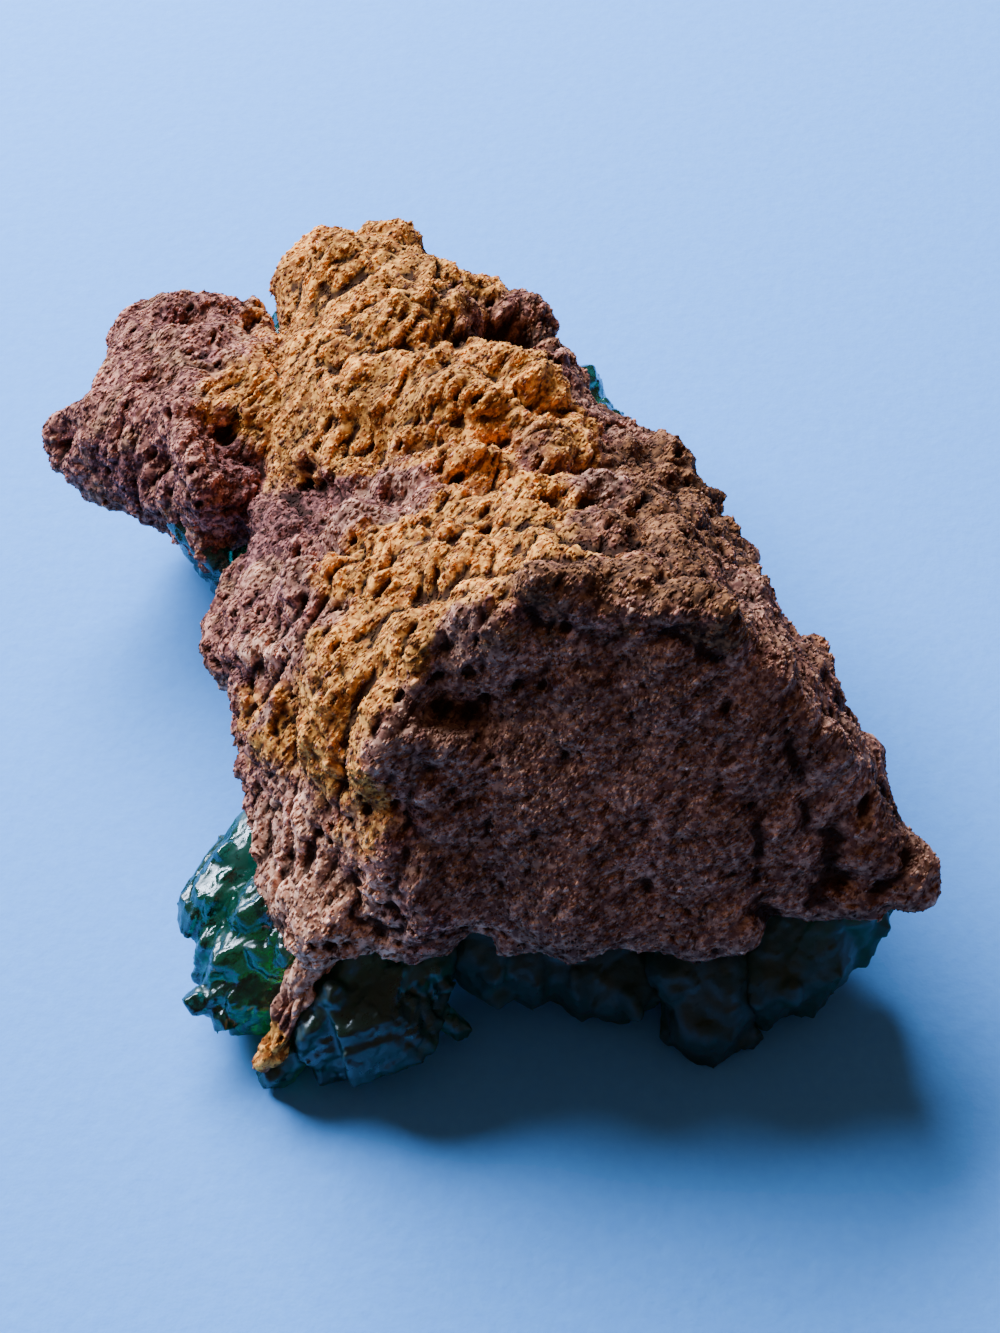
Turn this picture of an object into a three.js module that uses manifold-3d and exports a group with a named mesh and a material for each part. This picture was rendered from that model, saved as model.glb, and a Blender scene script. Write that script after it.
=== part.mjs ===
// Dioptase on matrix: a hand-sized block of iron-stained, porous rock that lies on the
// green crystals grown on its underside.  Millimetres, +Z up.  The origin is on the
// surface that the crystals stand on, under the middle of the piece.

import * as THREE from "three";
import { ConvexGeometry } from "three/addons/geometries/ConvexGeometry.js";
import { mergeVertices } from "three/addons/utils/BufferGeometryUtils.js";
import Module from "manifold-3d";

const wasm = await Module();
wasm.setup();

// ---- driving dimensions ------------------------------------------------------------

const SEAT_GAP = 0.35;          // clearance between the rock and the crystals on it
const FLOOR_SLAB = 40;          // thickness of the block that trims the crystals' feet
const FLOOR_SPAN = 200;         // its width and depth
const CENTRING = new THREE.Vector3(0.04, 0.65, 0);  // brings the middle of the outline to the origin
const TOP_BIAS = 0.22;          // crowds the facets towards the top, where the detail is
const WELD = 1e-5;              // corners closer than this are one
const UP = new THREE.Vector3(0, 0, 1);

// The rock is drawn as two rounded masses, the main block and the lobe at its left.
// Each is a skin round a heart, pulled out to the marks that were measured on it.
// reach is the rough half-size that spaces the skin's facets evenly.

const BLOCK = {
  heart: new THREE.Vector3(1.5, -3, 14),
  middle: new THREE.Vector3(2, -2, 15),
  reach: new THREE.Vector3(27, 38, 15),
  detail: 12,
  marks: {
    crest: [
      [-2, -22, 26], [-0.5, -20, 27.5], [1.5, -19, 28.5], [6.5, -18, 30], [12, -18.5, 30],
      [15.5, -18, 29], [18.5, -18.5, 27.5], [22, -20, 24], [25.5, -23.5, 19], [28, -26, 15],
    ],
    frontFace: [
      [1.5, -22.5, 24.5], [9.5, -22.5, 24.5], [17, -22.5, 23], [1, -26.5, 19],
      [9.5, -26.5, 19], [18, -26.5, 18], [24, -26.5, 15.5], [3, -29.5, 14],
      [12.5, -29.5, 14], [21, -29, 12.5],
    ],
    frontEdge: [
      [-3.5, -24.5, 23], [-4, -27.5, 18.5], [-4, -30.5, 13.5], [-8, -30, 13],
    ],
    frontRim: [
      [31, -27.5, 9.5], [28, -28.5, 8.5], [24.5, -29.5, 9], [19, -31, 9], [15.5, -32, 9],
      [12, -32, 9.5], [7.5, -33, 9], [3, -32, 9.5], [-1, -32, 9.5], [-3.5, -32.5, 9],
      [-8.5, -33, 8], [-10.5, -31.5, 8],
    ],
    leftFlank: [
      [-12, -28, 9], [-14, -25, 9.5], [-14, -22, 10], [-15, -18, 11], [-16, -12.5, 12],
      [-18, -7.5, 12], [-18.5, -5, 12], [-17.5, -1.5, 11.5], [-11, -20.5, 17],
      [-9, -23, 19], [-10.5, -27, 14], [-12, -23.5, 13.5], [-13.5, -13.5, 16],
      [-11, -9, 19], [-15.5, -5, 15],
    ],
    plateau: [
      [4, -11.5, 27], [9.5, -10.5, 26.5], [15, -10.5, 25], [-1, -13, 26], [-5, -15.5, 24.5],
      [-7.5, -19.5, 22.5], [5, -4.5, 24.5], [11, -3.5, 24], [17, -3.5, 20.5],
      [-4, -2, 21], [0, 1, 21.5], [4.5, 0.5, 20.5], [9.5, 1.5, 20],
    ],
    rightSide: [
      [32, -26.5, 11.5], [31.5, -24.5, 12.5], [30.3, -22, 13.3], [29.8, -19, 13.5],
      [27.6, -17, 15], [26.8, -14.5, 15.5], [23.5, -12.5, 18.5], [21.5, -8.5, 16.5],
      [21, -5, 13.5], [21.5, -1, 12.5], [20, 3, 13], [20, 6.5, 13], [18, 9.5, 12.5],
      [16, 12.5, 12.5], [29.5, -23, 9.5], [26.5, -17, 9.5], [22.5, -11, 9], [20, -5, 9],
      [18.5, 1, 9], [16.5, 6.5, 9],
    ],
    upperBlock: [
      [1.5, 7.5, 22], [-3, 6.5, 21], [6, 11, 20], [10, 7.5, 18], [14.5, 4, 17],
      [-8, 8, 19.5], [-12, 13, 18.5], [-8.5, 17.5, 19.5], [-3, 16, 21.5], [1.5, 18, 20.5],
      [-5, 24.5, 19.5], [-9.5, 27, 18], [-12.5, 22.5, 17], [4.5, 19.5, 16.5],
    ],
    backRim: [
      [-15, 28, 14], [-15, 30, 14.5], [-12, 33, 15], [-10, 35.5, 14.5], [-5.5, 34, 15.5],
      [-2.5, 29.5, 16], [1.5, 27, 16], [5.5, 25.5, 15.5], [7.5, 23.5, 14], [7.5, 21, 12.5],
      [10.5, 15.5, 12.5], [13.5, 13.5, 12],
    ],
    backFoot: [
      [-14, 29, 9], [-9, 33.5, 8.5], [-4, 31, 8.5], [2, 26, 8.5], [6, 20.5, 8.5],
      [10, 13.5, 8.5],
    ],
    valley: [
      [-15, 3, 14.5], [-11.5, 3, 16], [-8.5, 0, 17.5], [-14, -2, 15.5],
    ],
    underLobe: [
      [-17, 6, 9], [-17.5, 12, 12], [-17.5, 20, 12], [-15.5, 25.5, 11],
    ],
    underside: [
      [-6, -26, 9], [2, -25, 10], [10, -27, 9], [24, -23, 9], [-10, -13, 9.5], [0, -17, 10.5],
      [7, -13, 10.5], [20, -12, 10], [0, -9, 10.5], [-11, 0, 9.5], [-4, -3, 10.5],
      [1.5, -3, 10.5], [5, 2, 10.5], [14, 2, 10], [-1, 6, 10.5], [-10, 14, 9.5], [0, 14, 10],
      [8, 14, 10], [-5, 26, 9.5],
    ],
  },
};

const LOBE = {
  heart: new THREE.Vector3(-21, 13, 12.5),
  middle: new THREE.Vector3(-20, 14, 12),
  reach: new THREE.Vector3(12, 14, 6),
  detail: 5,
  marks: {
    outline: [
      [-32, 13.5, 12], [-31, 15, 12.5], [-29, 15.5, 13], [-28, 18.5, 14], [-27.5, 22.5, 14],
      [-26, 27, 13.5], [-24, 28.5, 13.5], [-20, 28, 14], [-17.5, 27, 14], [-16, 26.5, 13],
      [-18.5, 1.5, 10], [-21.5, 6, 9], [-24.5, 8, 9], [-27.5, 9, 9.5], [-30, 11, 10.5],
    ],
    top: [
      [-20.5, 12, 17.5], [-18.5, 4, 15], [-24, 18.5, 16.5], [-25.5, 11.5, 15],
      [-22, 8.5, 14.5], [-28, 11, 13.5], [-18, 10.5, 15.5], [-18.5, 19, 16.5],
      [-21, 22.5, 16.5],
    ],
    inner: [
      [-11, 8, 12], [-11, 16, 12], [-13, 22, 12], [-13, 10, 17], [-14, 20, 16],
    ],
    underside: [
      [-29, 14, 9.5], [-24, 21, 9.5], [-22, 12, 8.5], [-17, 21, 9.5], [-16, 9, 8.5],
    ],
  },
};

// A spur of the same rock that runs down between the two clusters at the front left.
const SPUR = {
  top: new THREE.Vector3(-8.5, -30.5, 9),
  end: new THREE.Vector3(-13, -36.5, 2.2),
  halfWidth: 1.4,
  halfThickness: 1.25,
  detail: 2,
};

// Low relief of the rock: rounded lumps with sharp creases between them, gentler on the
// flat front face and underneath.
const LUMPS = [
  { spacing: 9, rise: 1.1 },
  { spacing: 4.7, rise: 0.8 },
];
const LUMP_MEAN = 0.6;          // the part of a lump's rise that lies below the skin
const WAVES = 12;               // directions that the lumps are woven from
const WAVE_TURN = Math.PI * (3 - Math.sqrt(5));  // the golden angle spreads them evenly
const WAVE_PHASE = 2.4;
const FRONT_FACE = { heart: new THREE.Vector3(10, -27, 19), radius: 12, calm: 0.75 };
const UNDERSIDE = { top: 11, bottom: 8, calm: 0.5 };

// Ledges and knobs (rise above 0), grooves and pits (below 0), each along a line from one
// place to another: from x, y, z, to x, y, z, half-width, rise.
const FEATURES = {
  upper_terrace_ledge: [4.5, -5, 25, 16, -3.5, 21, 1.6, 1.1],
  upper_terrace_groove: [3.5, -2, 22.5, 12.5, -0.5, 21, 1.5, -1.3],
  lower_terrace_ledge: [-4.5, 0.5, 20.5, 2, 1.5, 22, 1.6, 1.1],
  lower_terrace_groove: [-3, 4, 20.5, 3, 4.5, 21.5, 1.5, -1.2],
  crest_ledge: [-4, -18, 24.5, 5, -17, 29, 1.4, 0.9],
  crest_groove: [-3.5, -14, 25, 3, -14, 27.5, 1.6, -1.3],
  back_scoop: [0, 17, 21.5, 4.5, 21, 17.5, 3.2, -2.4],
  back_scoop_ledge: [4, 13.5, 21, 11, 9, 18.5, 1.8, 1.2],
  lobe_rib: [-21, 11, 17.5, -18, 4, 13, 1.5, 1.5],
  lobe_hollow: [-17.5, 13, 16.5, -16, 6.5, 14.5, 2.3, -2.4],
  lobe_back_pit: [-18, 16.5, 16.5, -17, 17.5, 16, 2.1, -2],
  lobe_top_pit: [-22, 22.5, 16.5, -23, 22.5, 16.5, 1.6, -1.5],
  lobe_nose: [-31.5, 14, 12.5, -30.5, 15, 12.5, 2.2, 1.2],
  lobe_nose_pit: [-30.2, 13, 14.5, -29.5, 12, 14.5, 1.4, -1.4],
  valley_pit: [-10.5, 4.5, 15.5, -9.5, 3, 16, 1.8, -1.8],
  valley_side_pit: [-7.5, 5.5, 18.5, -6.5, 5, 19.5, 1.5, -1.5],
  flank_knob: [-17.5, -5.5, 13, -16.5, -8, 14, 2.6, 1.1],
  flank_shelf: [-10.5, -12, 20, -8.5, -9, 21, 2.6, 1],
  face_cavity: [-0.5, -22, 23.5, 1.5, -22.5, 22, 2, -2],
  face_corner_pit: [24.5, -28.5, 12, 25.5, -28, 13, 1.9, -1.8],
  right_low_knob: [31, -24.5, 12, 31, -25.5, 11, 2.6, 1.2],
  right_middle_knob: [29.5, -20, 13.5, 28.5, -19, 14, 2.2, 1.2],
  right_upper_knob: [26, -14.5, 16, 25, -13, 16.5, 2.2, 1.2],
  right_low_notch: [30.5, -22.3, 13.5, 29.5, -22, 15, 1.2, -1.2],
  right_middle_notch: [27.8, -17, 15, 27, -17, 16.5, 1.2, -1.1],
  right_crest_notch: [22, -9.5, 17, 21, -10, 19, 1.4, -1.2],
};

// ---- the rock -----------------------------------------------------------------------

/** Solve a square set of linear equations by elimination. */
function solve(rows, right) {
  const size = rows.length;
  const table = rows.map((row, index) => [...row, right[index]]);
  for (let column = 0; column < size; column += 1) {
    let pivot = column;
    for (let row = column + 1; row < size; row += 1) {
      if (Math.abs(table[row][column]) > Math.abs(table[pivot][column])) pivot = row;
    }
    [table[column], table[pivot]] = [table[pivot], table[column]];
    for (let row = column + 1; row < size; row += 1) {
      const share = table[row][column] / table[column][column];
      for (let k = column; k <= size; k += 1) table[row][k] -= share * table[column][k];
    }
  }
  const answer = new Array(size).fill(0);
  for (let row = size - 1; row >= 0; row -= 1) {
    let rest = table[row][size];
    for (let k = row + 1; k < size; k += 1) rest -= table[row][k] * answer[k];
    answer[row] = rest / table[row][row];
  }
  return answer;
}

/** The skin's distance from the heart in any direction, drawn tight through the marks. */
function skinThrough(heart, marks) {
  const rays = Object.values(marks).flat().map((mark) => new THREE.Vector3(...mark).sub(heart));
  const ways = rays.map((ray) => ray.clone().normalize());
  const rows = ways.map((way) => [...ways.map((other) => way.distanceTo(other)), 1]);
  rows.push([...ways.map(() => 1), 0]);
  const weights = solve(rows, [...rays.map((ray) => ray.length()), 0]);
  const base = weights[ways.length];
  return (way) => ways.reduce((sum, other, k) => sum + weights[k] * way.distanceTo(other), base);
}

/** A wavy field between about -1 and 1: plane waves of one spacing, in many directions. */
function ripple(point, spacing) {
  let sum = 0;
  for (let k = 0; k < WAVES; k += 1) {
    const rise = 1 - (2 * k + 1) / WAVES;
    const flat = Math.sqrt(1 - rise * rise);
    const turn = WAVE_TURN * k + spacing;
    const along = point.x * flat * Math.cos(turn) + point.y * flat * Math.sin(turn) + point.z * rise;
    sum += Math.sin((2 * Math.PI * along) / spacing + WAVE_PHASE * k * k);
  }
  return sum / Math.sqrt(WAVES);
}

/** Distance from a point to the straight line between two places. */
function distanceToLine(point, from, to) {
  const nearest = new THREE.Line3(from, to).closestPointToPoint(point, true, new THREE.Vector3());
  return nearest.distanceTo(point);
}

/** How far the rock stands out or in at a point. */
function relief(point) {
  let height = 0;
  for (const { spacing, rise } of LUMPS) {
    height += rise * (Math.abs(ripple(point, spacing)) - LUMP_MEAN);
  }
  const { heart, radius, calm } = FRONT_FACE;
  height *= 1 - calm * Math.exp(-((point.distanceTo(heart) / radius) ** 4));
  const under = 1 - THREE.MathUtils.smoothstep(point.z, UNDERSIDE.bottom, UNDERSIDE.top);
  height *= 1 - UNDERSIDE.calm * under;
  for (const [x1, y1, z1, x2, y2, z2, halfWidth, rise] of Object.values(FEATURES)) {
    const away = distanceToLine(point, new THREE.Vector3(x1, y1, z1), new THREE.Vector3(x2, y2, z2));
    height += rise * Math.exp(-((away / halfWidth) ** 2));
  }
  return height;
}

/** The turn that brings +Z to a direction. */
function turnTo(direction) {
  return new THREE.Quaternion().setFromUnitVectors(UP, direction.clone().normalize());
}

/** Only the places and the facets of a geometry, with its shared corners merged. */
function merged(geometry) {
  const bare = geometry.clone();
  bare.deleteAttribute("normal");
  bare.deleteAttribute("uv");
  return mergeVertices(bare, WELD);
}

/** A closed geometry as a solid that can be joined and cut. */
function solid(geometry) {
  const bare = merged(geometry);
  return new wasm.Manifold(new wasm.Mesh({
    numProp: 3,
    vertProperties: new Float32Array(bare.attributes.position.array),
    triVerts: new Uint32Array(bare.index.array),
  }));
}

/** One rounded mass of the rock, let out evenly by a clearance. */
function mass({ heart, middle, reach, detail, marks }, clearance) {
  const skin = skinThrough(heart, marks);
  const geometry = merged(new THREE.IcosahedronGeometry(1, detail));
  const places = geometry.attributes.position;
  const point = new THREE.Vector3();
  for (let k = 0; k < places.count; k += 1) {
    point.fromBufferAttribute(places, k).addScaledVector(UP, TOP_BIAS).normalize();
    const way = point.multiply(reach).add(middle).sub(heart).normalize();
    const distance = skin(way);
    places.setXYZ(k, ...way.multiplyScalar(distance).add(heart).toArray());
  }
  geometry.computeVertexNormals();
  const normals = geometry.attributes.normal;
  const normal = new THREE.Vector3();
  for (let k = 0; k < places.count; k += 1) {
    point.fromBufferAttribute(places, k);
    normal.fromBufferAttribute(normals, k);
    point.addScaledVector(normal, relief(point) + clearance);
    places.setXYZ(k, ...point.toArray());
  }
  return solid(geometry);
}

/** The spur: a rough spindle from its top, inside the block, to its end. */
function spur(clearance) {
  const middle = SPUR.top.clone().lerp(SPUR.end, 0.5);
  const halfLength = SPUR.top.distanceTo(SPUR.end) / 2;
  const geometry = new THREE.IcosahedronGeometry(1, SPUR.detail);
  geometry.scale(SPUR.halfWidth + clearance, SPUR.halfThickness + clearance, halfLength + clearance);
  geometry.applyQuaternion(turnTo(SPUR.end.clone().sub(SPUR.top)));
  geometry.translate(...middle.toArray());
  return solid(geometry);
}

/** The whole rock, one piece, let out evenly by a clearance. */
function rock(clearance) {
  return mass(BLOCK, clearance).add(mass(LOBE, clearance)).add(spur(clearance));
}

// ---- the crystals ---------------------------------------------------------------------

// Dioptase grows as short six-sided prisms ended by three sloping rhombic faces.  The
// end faces fall 1.233 mm for each mm outwards, so the prism's edges stop alternately
// at 0.617 and 1.233 radii below the tip.
const END_SLOPE = 1.233;
const ROOT_TAPER = 0.85;        // a crystal is slimmer where it started to grow

/** A crystal from its root to its tip, let out evenly by a clearance. */
function crystal([rootX, rootY, rootZ, tipX, tipY, tipZ, coreRadius, turn], clearance = 0) {
  const root = new THREE.Vector3(rootX, rootY, rootZ);
  const tip = new THREE.Vector3(tipX, tipY, tipZ);
  const radius = coreRadius + clearance;
  const length = root.distanceTo(tip) + END_SLOPE * clearance;
  const corners = [new THREE.Vector3(0, 0, length)];
  for (let k = 0; k < 6; k += 1) {
    const angle = (Math.PI / 3) * k + THREE.MathUtils.degToRad(turn);
    const fall = END_SLOPE * radius * (k % 2 ? 0.5 : 1);
    const x = radius * Math.cos(angle);
    const y = radius * Math.sin(angle);
    corners.push(new THREE.Vector3(x, y, length - fall));
    corners.push(new THREE.Vector3(ROOT_TAPER * x, ROOT_TAPER * y, 0));
  }
  const lean = turnTo(tip.clone().sub(root));
  for (const corner of corners) corner.applyQuaternion(lean).add(root);
  return solid(new ConvexGeometry(corners));
}

/** Crystals grown into one. */
function grown(crystals, clearance = 0) {
  return crystals.map((each) => crystal(each, clearance)).reduce((whole, next) => whole.add(next));
}

// Each cluster: crystals that have grown into one another.
// root x, y, z, tip x, y, z, radius across the corners, turn about its own axis
const CLUSTERS = {
  left_crystals: [
    [-11, -19, 9, -15.8, -21.5, 7, 1.9, 10],
    [-11, -20, 9, -16.8, -24.3, 6.5, 2.2, 25],
    [-12, -22, 7, -17.6, -24.5, 4.5, 2.0, 5],
    [-11, -22, 8, -18, -27, 5.8, 2.3, 0],
    [-11, -24, 6, -19, -28.6, 3.4, 2.6, 40],
    [-9, -26, 7, -17.6, -31, 3.2, 3.6, 15],
    [-9, -26, 7, -15.5, -33.4, 1.4, 3.2, 30],
    [-9, -26, 7, -17, -31.4, 1.6, 2.8, 0],
    [-10, -25, 6, -15.2, -29.3, 8.8, 2.6, 20],
    [-8, -27, 6, -11.6, -30.2, 9.3, 2.4, 5],
    [-9, -27, 6, -12.8, -32.2, 7, 2.6, 50],
  ],
  front_left_crystals: [
    [-10.5, -34.4, 3.8, -0.2, -31.3, 4.8, 4.1, 15],
    [-4, -26, 9, -12.6, -36.2, 2.3, 3.1, 20],
    [-5, -26, 8, -7.4, -36.6, 1.2, 3.4, 10],
    [-5, -25, 9, -2, -33, 3.2, 3.4, 35],
  ],
  front_crystals: [
    [3, -24, 10, 2, -31.8, 3.7, 2.6, 0],
    [5, -23, 9, 5.5, -32, 2.6, 3.0, 25],
    [7, -23, 9, 8.5, -31.8, 2.6, 2.6, 40],
    [9, -23, 9, 11.3, -32, 2.2, 3.0, 10],
  ],
  front_block_crystals: [
    [17, -23, 10.5, 17.4, -35.2, -0.1, 3.6, 15],
    [15, -23, 10, 14.6, -32.6, 3, 2.6, 40],
  ],
  right_crystals: [
    [21, -20, 11, 24.5, -32, 1.9, 4.2, 20],
    [23, -20, 10, 28.2, -29.5, 3.4, 3.6, 5],
    [24, -19, 9, 29, -26.8, 5, 2.8, 30],
  ],
  back_right_crystals: [
    [4, 16, 10, 12.2, 23.5, 6.5, 2.8, 20],
    [6, 13, 10, 13.4, 19.5, 6, 2.8, 0],
    [4, 17, 10, 8, 25, 1.8, 3.0, 15],
  ],
  left_notch_crystals: [
    [-15, 8, 10, -20, 4.4, 6, 1.9, 10],
    [-16, 9, 9, -20, 7, 2.5, 2.2, 30],
  ],
};

// Under the rock the crystals stand in rosettes that grew from one seed each: one crystal
// points down and the others fan out round it, leaning far and less far by turns, and no
// two of them alike.
const RING = { lean: 48, farLean: 62, length: 0.85, lengthSwing: 0.1, width: 0.85, widthSwing: 0.15 };
const RING_VARIETY = { length: 2.4, width: 1.7, turn: 20 };
const MIDDLE_LEAN = new THREE.Vector2(0.5, 0.3);

// seed x, y, z, crystals in the ring, their radius, their length, turn of the ring
const ROSETTES = {
  under_front_crystals: [4, -16, 11, 6, 3.4, 10, 10],
  under_right_crystals: [18, -11, 10.5, 6, 3.4, 11, 40],
  under_left_crystals: [-9, -11.5, 10.5, 6, 3.4, 9.8, 25],
  under_middle_crystals: [8, 2, 10.5, 6, 3.4, 9.8, 5],
  under_heart_crystals: [-7, 4, 10.5, 6, 3.2, 9.6, 50],
  under_back_crystals: [-1, 17, 10.5, 6, 3.2, 10, 35],
  under_end_crystals: [-8, 28, 10.5, 5, 2.9, 11, 15],
  under_lobe_crystals: [-20, 17.5, 10.5, 5, 3.0, 11, 0],
};

/** The crystals of one rosette, in the same form as those of a cluster. */
function rosette([x, y, z, count, radius, length, turn]) {
  const crystals = [[x, y, z, x + MIDDLE_LEAN.x, y + MIDDLE_LEAN.y, z - length, radius, turn]];
  for (let k = 0; k < count; k += 1) {
    const around = THREE.MathUtils.degToRad(turn + (360 * k) / count);
    const lean = THREE.MathUtils.degToRad(k % 2 ? RING.lean : RING.farLean);
    const reach = length * (RING.length + RING.lengthSwing * Math.sin(RING_VARIETY.length * k + turn));
    const width = radius * (RING.width + RING.widthSwing * Math.cos(RING_VARIETY.width * k));
    const out = reach * Math.sin(lean);
    const tip = [x + out * Math.cos(around), y + out * Math.sin(around), z - reach * Math.cos(lean)];
    crystals.push([x, y, z, ...tip, width, RING_VARIETY.turn * k]);
  }
  return crystals;
}

const floorSlab = solid(
  new THREE.BoxGeometry(FLOOR_SPAN, FLOOR_SPAN, FLOOR_SLAB).translate(0, 0, -FLOOR_SLAB / 2),
);

/** Crystals grown together, clear of what they meet and level where they touch the surface. */
function cluster(crystals, inTheWay) {
  const bodies = grown(crystals).subtract(inTheWay).subtract(floorSlab).decompose();
  return bodies.reduce((largest, body) => (body.volume() > largest.volume() ? body : largest));
}

// ---- the whole piece --------------------------------------------------------------------

const rockFinish = new THREE.MeshStandardMaterial({ color: 0x956644, roughness: 0.95, metalness: 0 });
const crystalFinish = new THREE.MeshStandardMaterial({ color: 0x1b505a, roughness: 0.12, metalness: 0 });

const specimen = new THREE.Group();

/** Adds a solid to the piece as a named mesh. */
function place(name, body, material) {
  const { vertProperties, triVerts } = body.getMesh();
  const geometry = new THREE.BufferGeometry();
  geometry.setAttribute("position", new THREE.BufferAttribute(vertProperties, 3));
  geometry.setIndex(new THREE.BufferAttribute(triVerts, 1));
  geometry.computeVertexNormals();
  const mesh = new THREE.Mesh(geometry, material);
  mesh.name = name;
  specimen.add(mesh);
}

place("matrix", rock(0), rockFinish);

// Each cluster grew out from the rock until it met the rock or an older cluster.
let taken = rock(SEAT_GAP);
for (const [name, crystals] of Object.entries(CLUSTERS)) {
  place(name, cluster(crystals, taken), crystalFinish);
  taken = taken.add(grown(crystals, SEAT_GAP));
}
for (const [name, seed] of Object.entries(ROSETTES)) {
  const crystals = rosette(seed);
  place(name, cluster(crystals, taken), crystalFinish);
  taken = taken.add(grown(crystals, SEAT_GAP));
}

specimen.position.copy(CENTRING);

export default specimen;
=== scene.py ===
import itertools
import math

import bpy
import numpy as np
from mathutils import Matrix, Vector


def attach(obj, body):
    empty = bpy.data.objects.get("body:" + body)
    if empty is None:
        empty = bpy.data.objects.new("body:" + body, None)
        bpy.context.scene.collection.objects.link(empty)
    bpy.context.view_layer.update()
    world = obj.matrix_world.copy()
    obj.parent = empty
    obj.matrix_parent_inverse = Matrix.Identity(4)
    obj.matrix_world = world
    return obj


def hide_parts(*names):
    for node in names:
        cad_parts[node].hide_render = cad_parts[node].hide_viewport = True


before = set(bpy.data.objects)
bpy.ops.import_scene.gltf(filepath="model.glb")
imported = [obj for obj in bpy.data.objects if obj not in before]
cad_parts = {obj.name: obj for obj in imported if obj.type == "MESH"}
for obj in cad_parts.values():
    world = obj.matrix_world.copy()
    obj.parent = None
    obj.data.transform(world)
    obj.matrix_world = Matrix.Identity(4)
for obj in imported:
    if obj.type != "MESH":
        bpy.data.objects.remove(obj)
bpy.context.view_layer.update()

# ---- the rock ----------------------------------------------------------------------------
# The matrix is one lump of porous limonite: iron oxide that set round sand grains, ochre
# where it weathered in the open and purple-brown where haematite is left.  Each of its masses
# is a skin drawn through marks on it and roughened.

MM = 0.001                      # metres in a millimetre; shapes below are in millimetres
CENTRING = np.array([0.04, 0.65, 0.0])  # brings the middle of the outline to the origin
TOP_BIAS = 0.36                 # crowds the grid towards the top, where the detail is
UP = np.array([0.0, 0.0, 1.0])

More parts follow.
